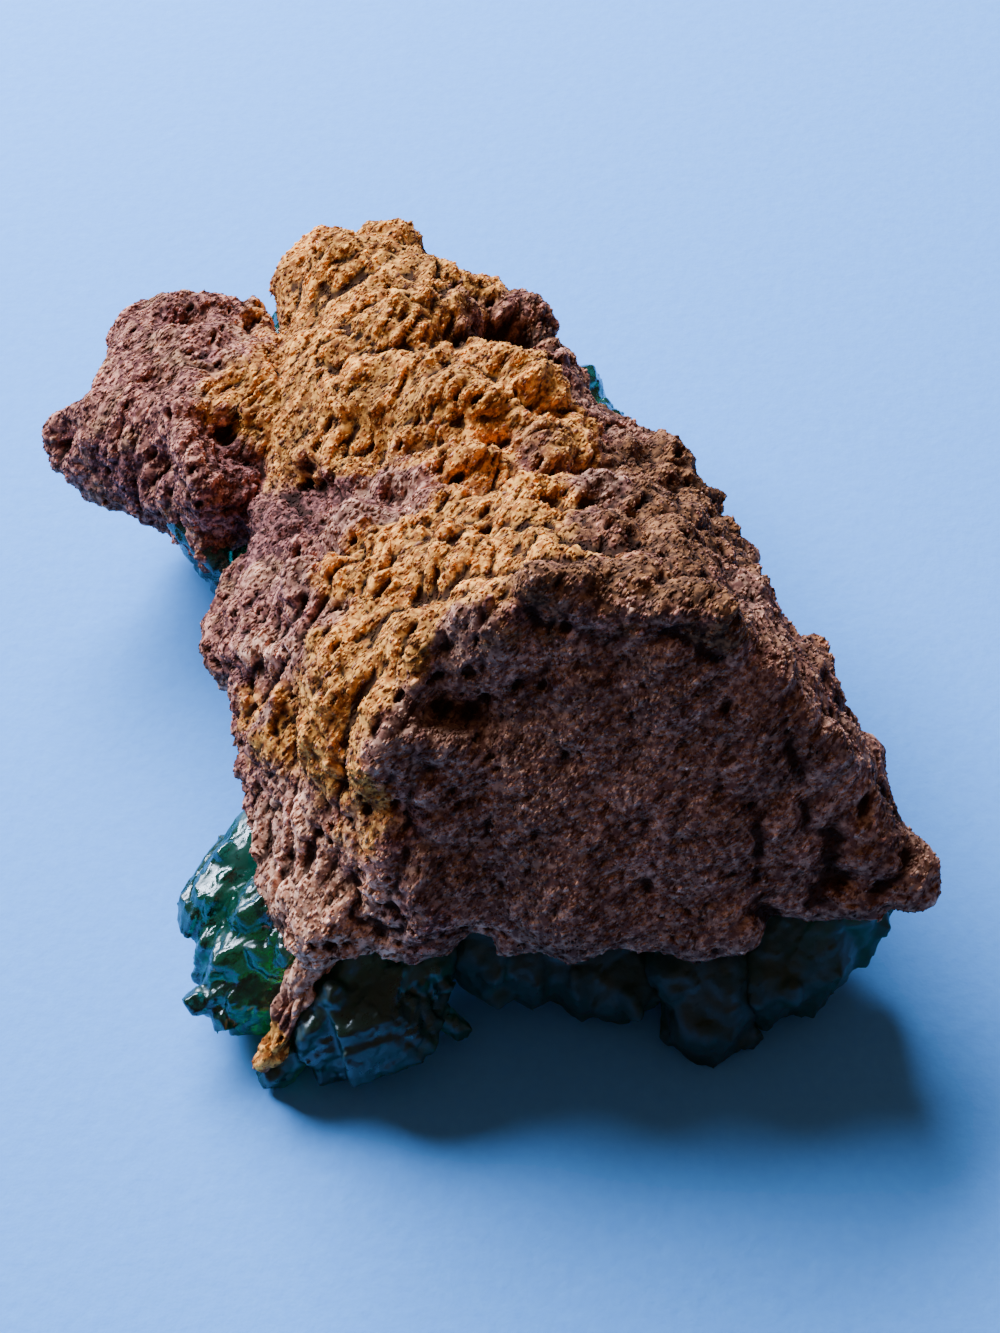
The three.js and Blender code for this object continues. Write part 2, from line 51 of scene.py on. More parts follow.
# The block is seen from its heart.  Before the skin is drawn, its grid is a ball about the
# middle, stretched to the reach.
BLOCK = {
    "heart": np.array([1.5, -3, 14]),
    "middle": np.array([2, -2, 15]),
    "reach": np.array([27, 38, 15]),
    "squares": 124,
    "marks": {
        "crest": [
            [-3, -20.6, 25.4], [-1, -18.8, 27.2], [1.3, -17.7, 28.4], [5.5, -16.8, 29.5],
            [9.5, -16.3, 29.8], [13.5, -17, 29.3], [17.5, -18.3, 28], [22, -20, 24],
            [25.5, -23.5, 19], [28, -26, 15],
        ],
        "front_face": [
            [1, -20.6, 25], [5, -19.8, 26], [9.5, -19.6, 26.4], [14, -20.2, 25.8], [18, -21.4, 24],
            [3, -23, 22.4], [10, -23, 22.8], [17.5, -23.6, 21.2], [1, -26.5, 19], [9.5, -26.5, 19],
            [18, -26.5, 18], [24, -26.5, 15.5], [3, -29.5, 14], [12.5, -29.5, 14], [21, -29, 12.5],
        ],
        "front_edge": [
            [-3.5, -24.5, 23], [-4, -27.5, 18.5], [-4, -30.5, 13.5], [-8, -30, 13],
        ],
        "front_rim": [
            [31, -27.5, 9.5], [28, -28.5, 8.5], [24.5, -29.5, 9], [19, -31, 9], [15.5, -32, 9],
            [12, -32, 9.5], [7.5, -33, 9], [3, -32, 9.5], [-1, -32, 9.5], [-3.5, -32.5, 9],
            [-8.5, -33, 8], [-10.5, -31.5, 8],
        ],
        "left_flank": [
            [-12.6, -28, 9], [-13.6, -25, 9.7], [-14, -22, 10], [-15, -18, 11], [-16, -12.5, 12],
            [-18, -7.5, 12], [-18.5, -5, 12], [-17.5, -1.5, 11.5], [-11, -20.5, 17], [-9, -23, 19],
            [-10.5, -27, 14], [-12, -23.5, 13.5], [-13.5, -13.5, 16], [-11, -9, 19],
            [-15.5, -5, 15],
        ],
        "plateau": [
            [4, -11.5, 27], [9.5, -10.5, 26.5], [15, -10.5, 25], [-1, -13, 26], [-5, -15.5, 24.5],
            [-7.5, -19.5, 22.5], [5, -4.5, 24.5], [11, -3.5, 24], [17, -3.5, 20.5], [-4, -2, 21],
            [0, 1, 21.5], [4.5, 0.5, 20.5], [9.5, 1.5, 20],
        ],
        "right_side": [
            [32, -26.5, 11.5], [31.2, -24.5, 12.5], [29.6, -22, 13.3], [28.8, -19, 13.5],
            [26.8, -17, 15], [25.8, -14.5, 15.5], [23.5, -12.5, 18.5], [21.5, -8.5, 16.5],
            [21, -5, 13.5], [21.5, -1, 12.5], [20, 3, 13], [20, 6.5, 13], [18, 9.5, 12.5],
            [16, 12.5, 12.5], [29.5, -23, 9.5], [26.5, -17, 9.5], [22.5, -11, 9], [20, -5, 9],
            [18.5, 1, 9], [16.5, 6.5, 9],
        ],
        "upper_block": [
            [1.5, 7.5, 22], [-3, 6.5, 21], [6, 11, 20], [10, 7.5, 18], [14.5, 4, 17],
            [-8, 8, 19.5], [-12, 13, 18.5], [-8.5, 17.5, 19.5], [-3, 16, 21.5], [1.5, 18, 20.5],
            [-5, 24.5, 19.5], [-9.5, 27, 18], [-12.5, 22.5, 17], [4.5, 19.5, 16.5],
        ],
        "back_rim": [
            [-13.8, 27.5, 14], [-14.6, 30, 14.5], [-12, 33, 15], [-10, 35.5, 14.5],
            [-5.5, 34, 15.5], [-2.5, 29.5, 16], [1.5, 27, 16], [5.5, 25.5, 15.5], [7.5, 23.5, 14],
            [7.5, 21, 12.5], [10.5, 15.5, 12.5], [13.5, 13.5, 12],
        ],
        "back_foot": [
            [-13.4, 28.8, 9], [-9, 33.5, 8.5], [-4, 31, 8.5], [2, 26, 8.5], [6, 20.5, 8.5],
            [10, 13.5, 8.5],
        ],
        "valley": [
            [-15, 3, 14.5], [-11.5, 3, 16], [-8.5, 0, 17.5], [-14, -2, 15.5],
        ],
        "under_lobe": [
            [-17, 6, 9], [-17.5, 12, 12], [-15.8, 20, 12], [-14, 25.5, 11],
        ],
        "underside": [
            [-6, -26, 9], [2, -25, 10], [10, -27, 9], [24, -23, 9], [-10, -13, 9.5],
            [0, -17, 10.5], [7, -13, 10.5], [20, -12, 10], [0, -9, 10.5], [-11, 0, 9.5],
            [-4, -3, 10.5], [1.5, -3, 10.5], [5, 2, 10.5], [14, 2, 10], [-1, 6, 10.5],
            [-10, 14, 9.5], [0, 14, 10], [8, 14, 10], [-5, 26, 9.5],
        ],
    },
}

LOBE = {
    "heart": np.array([-21, 13, 12.5]),
    "middle": np.array([-20, 14, 12]),
    "reach": np.array([12, 14, 6]),
    "squares": 84,
    "marks": {
        "outline": [
            [-32, 13.5, 12], [-31, 15, 12.5], [-29, 15.5, 13], [-28, 18.5, 14], [-27.5, 22.5, 14],
            [-26, 27, 13.5], [-24, 28.5, 13.5], [-20, 28, 14], [-17.5, 27, 14], [-16, 26.5, 13],
            [-18.5, 1.5, 10], [-21.5, 6, 9], [-24.5, 8, 9], [-27.5, 9, 9.5], [-30, 11, 10.5],
        ],
        "top": [
            [-20.5, 12, 17.5], [-18.5, 4, 15], [-24, 18.5, 16.5], [-25.5, 11.5, 15],
            [-22, 8.5, 14.5], [-28, 11, 13.5], [-18, 10.5, 15.5], [-18.5, 19, 16.5],
            [-21, 22.5, 16.5],
        ],
        "inner": [
            [-11, 8, 12], [-11, 16, 12], [-13, 22, 12], [-13, 10, 17], [-14, 20, 16],
        ],
        "underside": [
            [-29, 14, 9.5], [-24, 21, 9.5], [-22, 12, 8.5], [-17, 21, 9.5], [-16, 9, 8.5],
        ],
    },
}

SPUR = {                        # runs down between the two clusters at the front left
    "top": np.array([-9.3, -31.7, 9.6]),
    "end": np.array([-12.7, -36.5, 2.6]),
    "half_width": 1.15,
    "half_thickness": 0.85,
    "squares": 34,
    "taper": 0.25,
    "relief": 1.5,              # its fabric, against the rock's
}

# Lumps of the rock, and the parts where they are calm.
LUMPS = [{"spacing": 9, "rise": 1.0}, {"spacing": 4.7, "rise": 0.38}]
LUMP_MEAN = 0.6
WAVES = 12
WAVE_TURN = math.pi * (3 - math.sqrt(5))     # the golden angle spreads the waves' directions
WAVE_PHASE = 2.4
FRONT_FACE = {"heart": np.array([10, -27, 19]), "radius": 12, "calm": 0.75}
LOBE_TOP = {"heart": np.array([-24, 15, 14]), "radius": 13, "calm": 0.55}
UNDERSIDE = {"top": 11, "bottom": 8, "calm": 0.5}
FLAT_TOP = 4                    # the power of a bell that is flat in the middle

# Ledges and knobs (rise above 0), grooves and pits (below 0), each along a line from one
# place to another: from x, y, z, to x, y, z, half-width, rise.
FEATURES = {
    "upper_terrace_ledge": [4.5, -5, 25, 16, -3.5, 21, 1.6, 1.5],
    "upper_terrace_groove": [3.5, -2, 22.5, 12.5, -0.5, 21, 1.5, -1.6],
    "lower_terrace_ledge": [-4.5, 0.5, 20.5, 2, 1.5, 22, 1.6, 1.5],
    "lower_terrace_groove": [-3, 4, 20.5, 3, 4.5, 21.5, 1.5, -1.9],
    "crest_ledge": [-4, -18, 24.5, 5, -17, 29, 1.4, 0.9],
    "crest_groove": [-3.5, -14, 25, 3, -14, 27.5, 1.6, -1.3],
    "back_scoop": [0, 17, 21.5, 4.5, 21, 17.5, 3.2, -2.4],
    "back_scoop_ledge": [4, 13.5, 21, 8.5, 10.5, 19.5, 1.8, 1.2],
    "back_right_scoop": [9, 12.5, 17.5, 12, 7.5, 18, 2.4, -1.3],
    "lobe_rib": [-21.3, 10.7, 17.9, -18.7, 4.6, 14.6, 1.4, 1.9],
    "lobe_hollow": [-17.2, 9.8, 15.6, -15.4, 6.6, 14.2, 2, -0.8],
    "lobe_low_cut": [-20.5, 5, 10.6, -17, 2.5, 10.6, 2, -1.3],
    "lobe_back_pit": [-18.6, 14.9, 16.6, -16.6, 14, 16.2, 1.8, -2.7],
    "lobe_top_pit": [-23, 23, 15.5, -21.2, 22.8, 15.6, 1.4, -2.8],
    "lobe_middle_pit": [-23.8, 15.4, 16.4, -22.4, 15.1, 16.8, 1.1, -1.5],
    "lobe_side_pit": [-16.8, 23.6, 15.2, -16.2, 22, 15.4, 1.3, -1.6],
    "lobe_nose": [-30.8, 14.6, 12.6, -29.6, 15.4, 13, 2.4, 0.7],
    "lobe_chin": [-30.2, 12.4, 9.6, -28.6, 11.4, 9, 2.2, 0.9],
    "lobe_nose_pit": [-30.7, 12.1, 12.7, -30.2, 12.6, 13.4, 1, -1.6],
    "valley_pit": [-10.5, 4.5, 15.5, -9.5, 3, 16, 1.8, -1.8],
    "valley_side_pit": [-7.5, 5.5, 18.5, -6.5, 5, 19.5, 1.5, -1.5],
    "flank_knob": [-17.5, -5.5, 13, -16.5, -8, 14, 2.6, 0.4],
    "low_left_knob": [-13.4, -26.8, 9.6, -12.6, -28.2, 9.2, 1.8, 1.3],
    "flank_shelf": [-10.5, -12, 20, -8.5, -9, 21, 2.6, 1],
    "face_cavity": [-0.6, -22.4, 23.4, 1.6, -22.8, 23, 1.5, -2.2],
    "face_ridge": [-0.4, -23.8, 21.6, 4.6, -22.6, 24.8, 0.8, 0.9],
    "face_corner_pit": [24.5, -28.5, 12, 25.2, -28.2, 12.6, 1.6, -0.9],
    "right_low_knob": [31, -24.5, 12, 31, -25.5, 11, 2.6, 0.1],
    "right_middle_knob": [29.5, -20, 13.5, 28.5, -19, 14, 2.2, 0.4],
    "right_upper_knob": [26, -14.5, 16, 25, -13, 16.5, 2.2, 0.4],
    "right_low_notch": [30.5, -22.3, 13.5, 29.5, -22, 15, 1.2, -1.2],
    "right_middle_notch": [27.8, -17, 15, 27, -17, 16.5, 1.2, -1.1],
    "right_crest_notch": [22, -9.5, 17, 21, -10, 19, 1.4, -1.2],
}

# The finer fabric: strips drawn out along one direction, with long pits between them.
FABRIC_WAY = np.array([0.52, 0.83, 0.20])
FABRIC_STRETCH = 3.0
FABRIC_BEND = {"size": 3.0, "by": 0.45, "seeds": (31, 32, 33)}
STRIPS = [{"width": 1.6, "rise": 0.36}, {"width": 0.75, "rise": 0.28}]
STRIP_MEAN = 0.3
PITS = [                        # this share of the cells holds a pit; its radius is in cells
    {"cell": 2.2, "share": 0.45, "radius": 0.28, "depth": 1.05, "seed": 21},
    {"cell": 1.1, "share": 0.75, "radius": 0.34, "depth": 0.75, "seed": 31},
]
PIT_LEAST = 0.6                 # the smallest pits' radius, against the widest
PIT_FLOOR = 0.35                # the flat floor's radius, against the pit's
# Worn places keep this much of the fabric: the front face, the lobe and the right rim.
RIGHT_RIM = np.array([27, -24, 14])
WORN = [(FRONT_FACE["heart"], 16, 0.2), (LOBE_TOP["heart"], 12, 0.55), (RIGHT_RIM, 9, 0.4)]


def unit(ways):
    """Ways made one long: one way, or a row for each."""
    return ways / np.linalg.norm(ways, axis=ways.ndim - 1 or None, keepdims=True)


def cube_ball(squares):
    """A closed grid on the unit ball: the six sides of a cube, each cut into squares by equal
    angles and blown up to the ball.  Gives the places and the four-cornered faces."""
    step = np.arange(squares + 1)
    across, along = np.meshgrid(step, step, indexing="ij")
    corners, faces = [], []
    number = np.arange((squares + 1) ** 2).reshape(squares + 1, squares + 1)
    for axis in range(3):
        for side in (0, squares):
            sheet = np.empty((squares + 1, squares + 1, 3), int)
            sheet[..., axis] = side
            sheet[..., (axis + 1) % 3] = across
            sheet[..., (axis + 2) % 3] = along
            rounds = [number[:-1, :-1], number[1:, :-1], number[1:, 1:], number[:-1, 1:]]
            if side == 0:
                rounds.reverse()
            sheet_faces = np.stack(rounds, axis=-1).reshape(-1, 4)
            faces.append(sheet_faces + len(corners) * number.size)
            corners.append(sheet.reshape(-1, 3))
    corners = np.concatenate(corners)
    key = corners @ np.array([1, squares + 1, (squares + 1) ** 2])
    _, first, merged = np.unique(key, return_index=True, return_inverse=True)
    places = np.tan(math.pi / 4 * (2 * corners[first] / squares - 1))
    return unit(places), merged[np.concatenate(faces)]


def normals_of(places, faces):
    """The way out at each place: the sum of its faces' own ways out, made one long."""
    across = places[faces[:, 2]] - places[faces[:, 0]]
    along = places[faces[:, 3]] - places[faces[:, 1]]
    face_ways = np.cross(across, along)
    ways = np.zeros_like(places)
    for corner in range(4):
        np.add.at(ways, faces[:, corner], face_ways)
    return unit(ways)


def skin_through(heart, marks):
    """The skin's distance from the heart in any direction, drawn tight through the marks: a
    constant and a share of the distance to each mark's direction, solved so that all fit."""
    rays = np.concatenate([np.array(group, float) for group in marks.values()]) - heart
    lengths = np.linalg.norm(rays, axis=1)
    ways = rays / lengths[:, None]

    def between(others):
        return np.sqrt(np.maximum(2 - 2 * others @ ways.T, 0))

    count = len(ways)
    table = np.ones((count + 1, count + 1))
    table[:count, :count] = between(ways)
    table[count, count] = 0
    shares = np.linalg.solve(table, np.append(lengths, 0))
    return lambda others: between(others) @ shares[:count] + shares[count]


def eased(value, low, high):
    """0 up to low, 1 from high, and a smooth step between them."""
    part = np.clip((value - low) / (high - low), 0, 1)
    return part * part * (3 - 2 * part)


def ripple(points, spacing):
    """A wavy field between about -1 and 1: plane waves of one spacing, in many directions."""
    k = np.arange(WAVES)
    rise = 1 - (2 * k + 1) / WAVES
    flat = np.sqrt(1 - rise**2)
    turn = WAVE_TURN * k + spacing
    ways = np.stack([flat * np.cos(turn), flat * np.sin(turn), rise])
    waves = np.sin(points @ ways * (2 * math.pi / spacing) + WAVE_PHASE * k * k)
    return waves.sum(axis=1) / math.sqrt(WAVES)


CELL_FACTORS = np.array([73856093, 19349663, 83492791], np.uint64)
SEED_FACTOR = 2654435761
STIRS = np.array([0x45D9F3B, 0x45D9F3B, 1], np.uint64)
HALF_LENGTH = np.uint64(16)     # of a number of 32 bits
ALL_BITS = np.uint64(0xFFFFFFFF)


def number_of(cells, seed):
    """A fixed number from 0 to 1 for each whole-numbered cell, the same on every run: the
    cell's numbers are summed and stirred, each time by folding the upper bits onto the lower."""
    stirred = (cells.astype(np.uint64) * CELL_FACTORS).sum(-1)
    stirred = (stirred + np.uint64(seed * SEED_FACTOR)) & ALL_BITS
    for factor in STIRS:
        stirred = ((stirred ^ (stirred >> HALF_LENGTH)) * factor) & ALL_BITS
    return stirred / float(ALL_BITS)


def cloud(points, size, seed):
    """Smooth noise from -1 to 1: a fixed number at each corner of a grid, eased in between."""
    scaled = points / size
    low = np.floor(scaled).astype(np.int64)
    ease = eased(scaled - low, 0, 1)
    total = np.zeros(len(points))
    for corner in itertools.product((0, 1), repeat=3):
        weight = np.prod(np.where(np.array(corner) == 1, ease, 1 - ease), axis=1)
        total += weight * number_of(low + np.array(corner), seed)
    return 2 * total - 1


def nearest_seed(points, cell, seed):
    """One seed lies at a fixed place in each cube of a grid.  Gives the way from the nearest
    one, in cells, and that seed's own number from 0 to 1."""
    scaled = points / cell
    home = np.floor(scaled).astype(np.int64)
    nearest = np.full(len(points), np.inf)
    apart = np.zeros(points.shape)
    tag = np.zeros(len(points))
    for step in itertools.product((-1, 0, 1), repeat=3):
        cube = home + np.array(step)
        place = cube + np.stack([number_of(cube, seed + k) for k in range(3)], axis=1)
        away = np.linalg.norm(scaled - place, axis=1)
        closer = away < nearest
        nearest = np.where(closer, away, nearest)
        apart[closer] = (scaled - place)[closer]
        tag = np.where(closer, number_of(cube, seed + 3), tag)
    return apart, tag


def bell(points, middle, radius, power=2):
    """1 at the middle and nearly 0 past the radius: e to the negative power of the distance
    over the radius."""
    away = np.linalg.norm(points - middle, axis=1)
    return np.exp(-((away / radius) ** power))


def relief(points):
    """How far the rock stands out or in: lumps with sharp creases, calmer on the front face,
    the lobe and underneath, and then every named ledge, knob, groove and pit as a bell along a
    line.  Gives also how deep each place lies in a named groove or pit."""
    lumps = [np.abs(ripple(points, lump["spacing"])) - LUMP_MEAN for lump in LUMPS]
    height = sum(lump["rise"] * crease for lump, crease in zip(LUMPS, lumps))
    for part in (FRONT_FACE, LOBE_TOP):
        height *= 1 - part["calm"] * bell(points, part["heart"], part["radius"], FLAT_TOP)
    above = eased(points[:, 2], UNDERSIDE["bottom"], UNDERSIDE["top"])
    height *= 1 - UNDERSIDE["calm"] * (1 - above)
    depth = np.zeros(len(points))
    for line in FEATURES.values():
        start, end, (half_width, rise) = np.array(line[:3]), np.array(line[3:6]), line[6:]
        span = end - start
        share = np.clip((points - start) @ span / (span @ span), 0, 1)
        step = rise * bell(points - start, share[:, None] * span, half_width)
        height += step
        depth = np.maximum(depth, -step)
    return height, depth


def fabric(points):
    """The finer relief, how hollow each place is and how high it lies on its strip: rounded
    strips, drawn out along the fabric, with long pits sunk between them."""
    way = unit(FABRIC_WAY)
    drawn = points - (points @ way)[:, None] * way * (1 - 1 / FABRIC_STRETCH)
    bends = [cloud(points, FABRIC_BEND["size"], seed) for seed in FABRIC_BEND["seeds"]]
    bent = drawn + FABRIC_BEND["by"] * np.stack(bends, axis=1)
    height = np.zeros(len(points))
    shade = np.zeros(len(points))
    for seed, strip in enumerate(STRIPS):
        crown = np.abs(cloud(bent, strip["width"], seed)) - STRIP_MEAN
        height += 2 * strip["rise"] * crown
        shade += crown
    hollow = np.zeros(len(points))
    for pits in PITS:
        apart, tag = nearest_seed(bent, pits["cell"], pits["seed"])
        nearest = np.linalg.norm(apart, axis=1)
        radius = pits["radius"] * (PIT_LEAST + (1 - PIT_LEAST) * tag / pits["share"])
        pit = (tag < pits["share"]) * (1 - eased(nearest, PIT_FLOOR * radius, radius))
        height -= pits["depth"] * pit
        hollow = np.maximum(hollow, pit)
    keep = np.ones(len(points))
    for heart, radius, kept in WORN:
        keep *= 1 - (1 - kept) * bell(points, heart, radius, FLAT_TOP)
    return keep * height, keep * hollow, shade


def shown(name, data):
    """A new object in the scene."""
    made = bpy.data.objects.new(name, data)
    bpy.context.scene.collection.objects.link(made)
    return made


def mesh_object(name, places, faces):
    """A mesh object in the scene, from places in millimetres and rows of corner numbers."""
    mesh = bpy.data.meshes.new(name)
    mesh.vertices.add(len(places))
    mesh.vertices.foreach_set("co", ((places + CENTRING) * MM).astype(np.float32).ravel())
    mesh.loops.add(faces.size)
    mesh.loops.foreach_set("vertex_index", faces.astype(np.int32).ravel())
    mesh.polygons.add(len(faces))
    starts = np.arange(0, faces.size, faces.shape[1], dtype=np.int32)
    mesh.polygons.foreach_set("loop_start", starts)
    mesh.update(calc_edges=True)
    return shown(name, mesh)


SINK = {"rounds": 7, "least": 0.0, "most": 0.22}   # what counts as lying in a hollow
SHADED_DEPTHS = (1.2, 3)              # depths in a named groove or pit between which it is painted with shade


def sunk(places, faces):
    """From 0 to 1, how deep each place lies in a hollow: how far it is below the same skin
    smoothed, where each place moves over and over to the mean of its neighbours."""
    starts = faces.ravel()
    ends = np.roll(faces, -1, axis=1).ravel()
    count = np.bincount(starts, minlength=len(places)) + np.bincount(ends, minlength=len(places))
    smooth = places
    for _ in range(SINK["rounds"]):
        total = [np.bincount(starts, smooth[ends, k], len(places))
                 + np.bincount(ends, smooth[starts, k], len(places)) for k in range(3)]
        smooth = np.stack(total, axis=1) / count[:, None]
    below = ((smooth - places) * normals_of(smooth, faces)).sum(axis=1)
    return eased(below, SINK["least"], SINK["most"])


def set_number(piece, name, values):
    """Keeps one number at each place of a mesh, for its material to read."""
    numbers = piece.data.attributes.get(name) or piece.data.attributes.new(name, "FLOAT", "POINT")
    numbers.data.foreach_set("value", values.astype(np.float32))


def mass(name, spec):
    """One mass of the rock: the ball's grid is stretched to the mass's reach, each place is
    moved along its ray from the heart to the skin, and then out along the skin's own way."""
    ball, faces = cube_ball(spec["squares"])
    ball = unit(ball + TOP_BIAS * UP)
    ways = unit(ball * spec["reach"] + spec["middle"] - spec["heart"])
    places = spec["heart"] + ways * skin_through(spec["heart"], spec["marks"])(ways)[:, None]
    relief_height, depth = relief(places)
    places += normals_of(places, faces) * relief_height[:, None]
    height, hollow, shade = fabric(places)
    places += normals_of(places, faces) * height[:, None]
    made = mesh_object(name, places, faces)
    hollow = np.maximum(hollow, eased(depth, *SHADED_DEPTHS))
    # Painted shade: how deep a place lies in a hollow, or in a named groove or pit, darkens it.
    set_number(made, "hollow", np.maximum(hollow, sunk(places, faces)))
    # Painted light and shade: how high each place lies on its strip.
    set_number(made, "shade", shade)
    return made


def spur(name, spec):
    """A rough spindle from its top, inside the block, to its thin end: the ball's grid, drawn
    in towards that end, stretched and turned to the spur's line, with the fine relief."""
    ball, faces = cube_ball(spec["squares"])
    line = spec["end"] - spec["top"]
    along = unit(line)
    across = unit(np.cross(along, UP))
    over = np.cross(across, along)
    faces = faces[:, ::-1]      # because across, over and along are left-handed
    ball[:, :2] *= 1 - spec["taper"] * ball[:, 2:]
    places = (spec["top"] + spec["end"]) / 2 + ball[:, :1] * across * spec["half_width"]
    stretched = ball[:, 2:] * along * np.linalg.norm(line) / 2
    places += ball[:, 1:2] * over * spec["half_thickness"] + stretched
    height, hollow, shade = fabric(places)
    places += spec["relief"] * normals_of(places, faces) * height[:, None]
    made = mesh_object(name, places, faces)
    set_number(made, "hollow", hollow)
    set_number(made, "shade", shade)
    return made


def given(made, **settings):
    """A modifier, node, light or camera with its settings."""
    for name, value in settings.items():
        setattr(made, name, value)
    return made


def joined(name, pieces):
    """One closed body out of several that overlap; the pieces themselves are removed."""
    whole, *others = pieces
    for other in others:
        join = whole.modifiers.new("join", "BOOLEAN")
        given(join, operation="UNION", solver="MANIFOLD", object=other)
    bpy.context.view_layer.update()
    solid = whole.evaluated_get(bpy.context.evaluated_depsgraph_get())
    mesh = bpy.data.meshes.new_from_object(solid)
    for piece in pieces:
        bpy.data.objects.remove(piece)
    mesh.name = name
    return shown(name, mesh)


def rows_of(items, name, width=3, kind=np.float32):
    """One property of all the items of a mesh, as rows of numbers."""
    flat = np.empty(width * len(items), kind)
    items.foreach_get(name, flat)
    return flat.reshape(-1, width)


def places_of(piece):
    """A mesh object's places in millimetres, about the same middle as the marks."""
    return rows_of(piece.data.vertices, "co") / MM - CENTRING


rock = joined("rock", [mass("block", BLOCK), spur("spur", SPUR)])
lobe = mass("rock_lobe", LOBE)
for piece in (rock, lobe):
    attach(piece, "root")
    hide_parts("matrix")

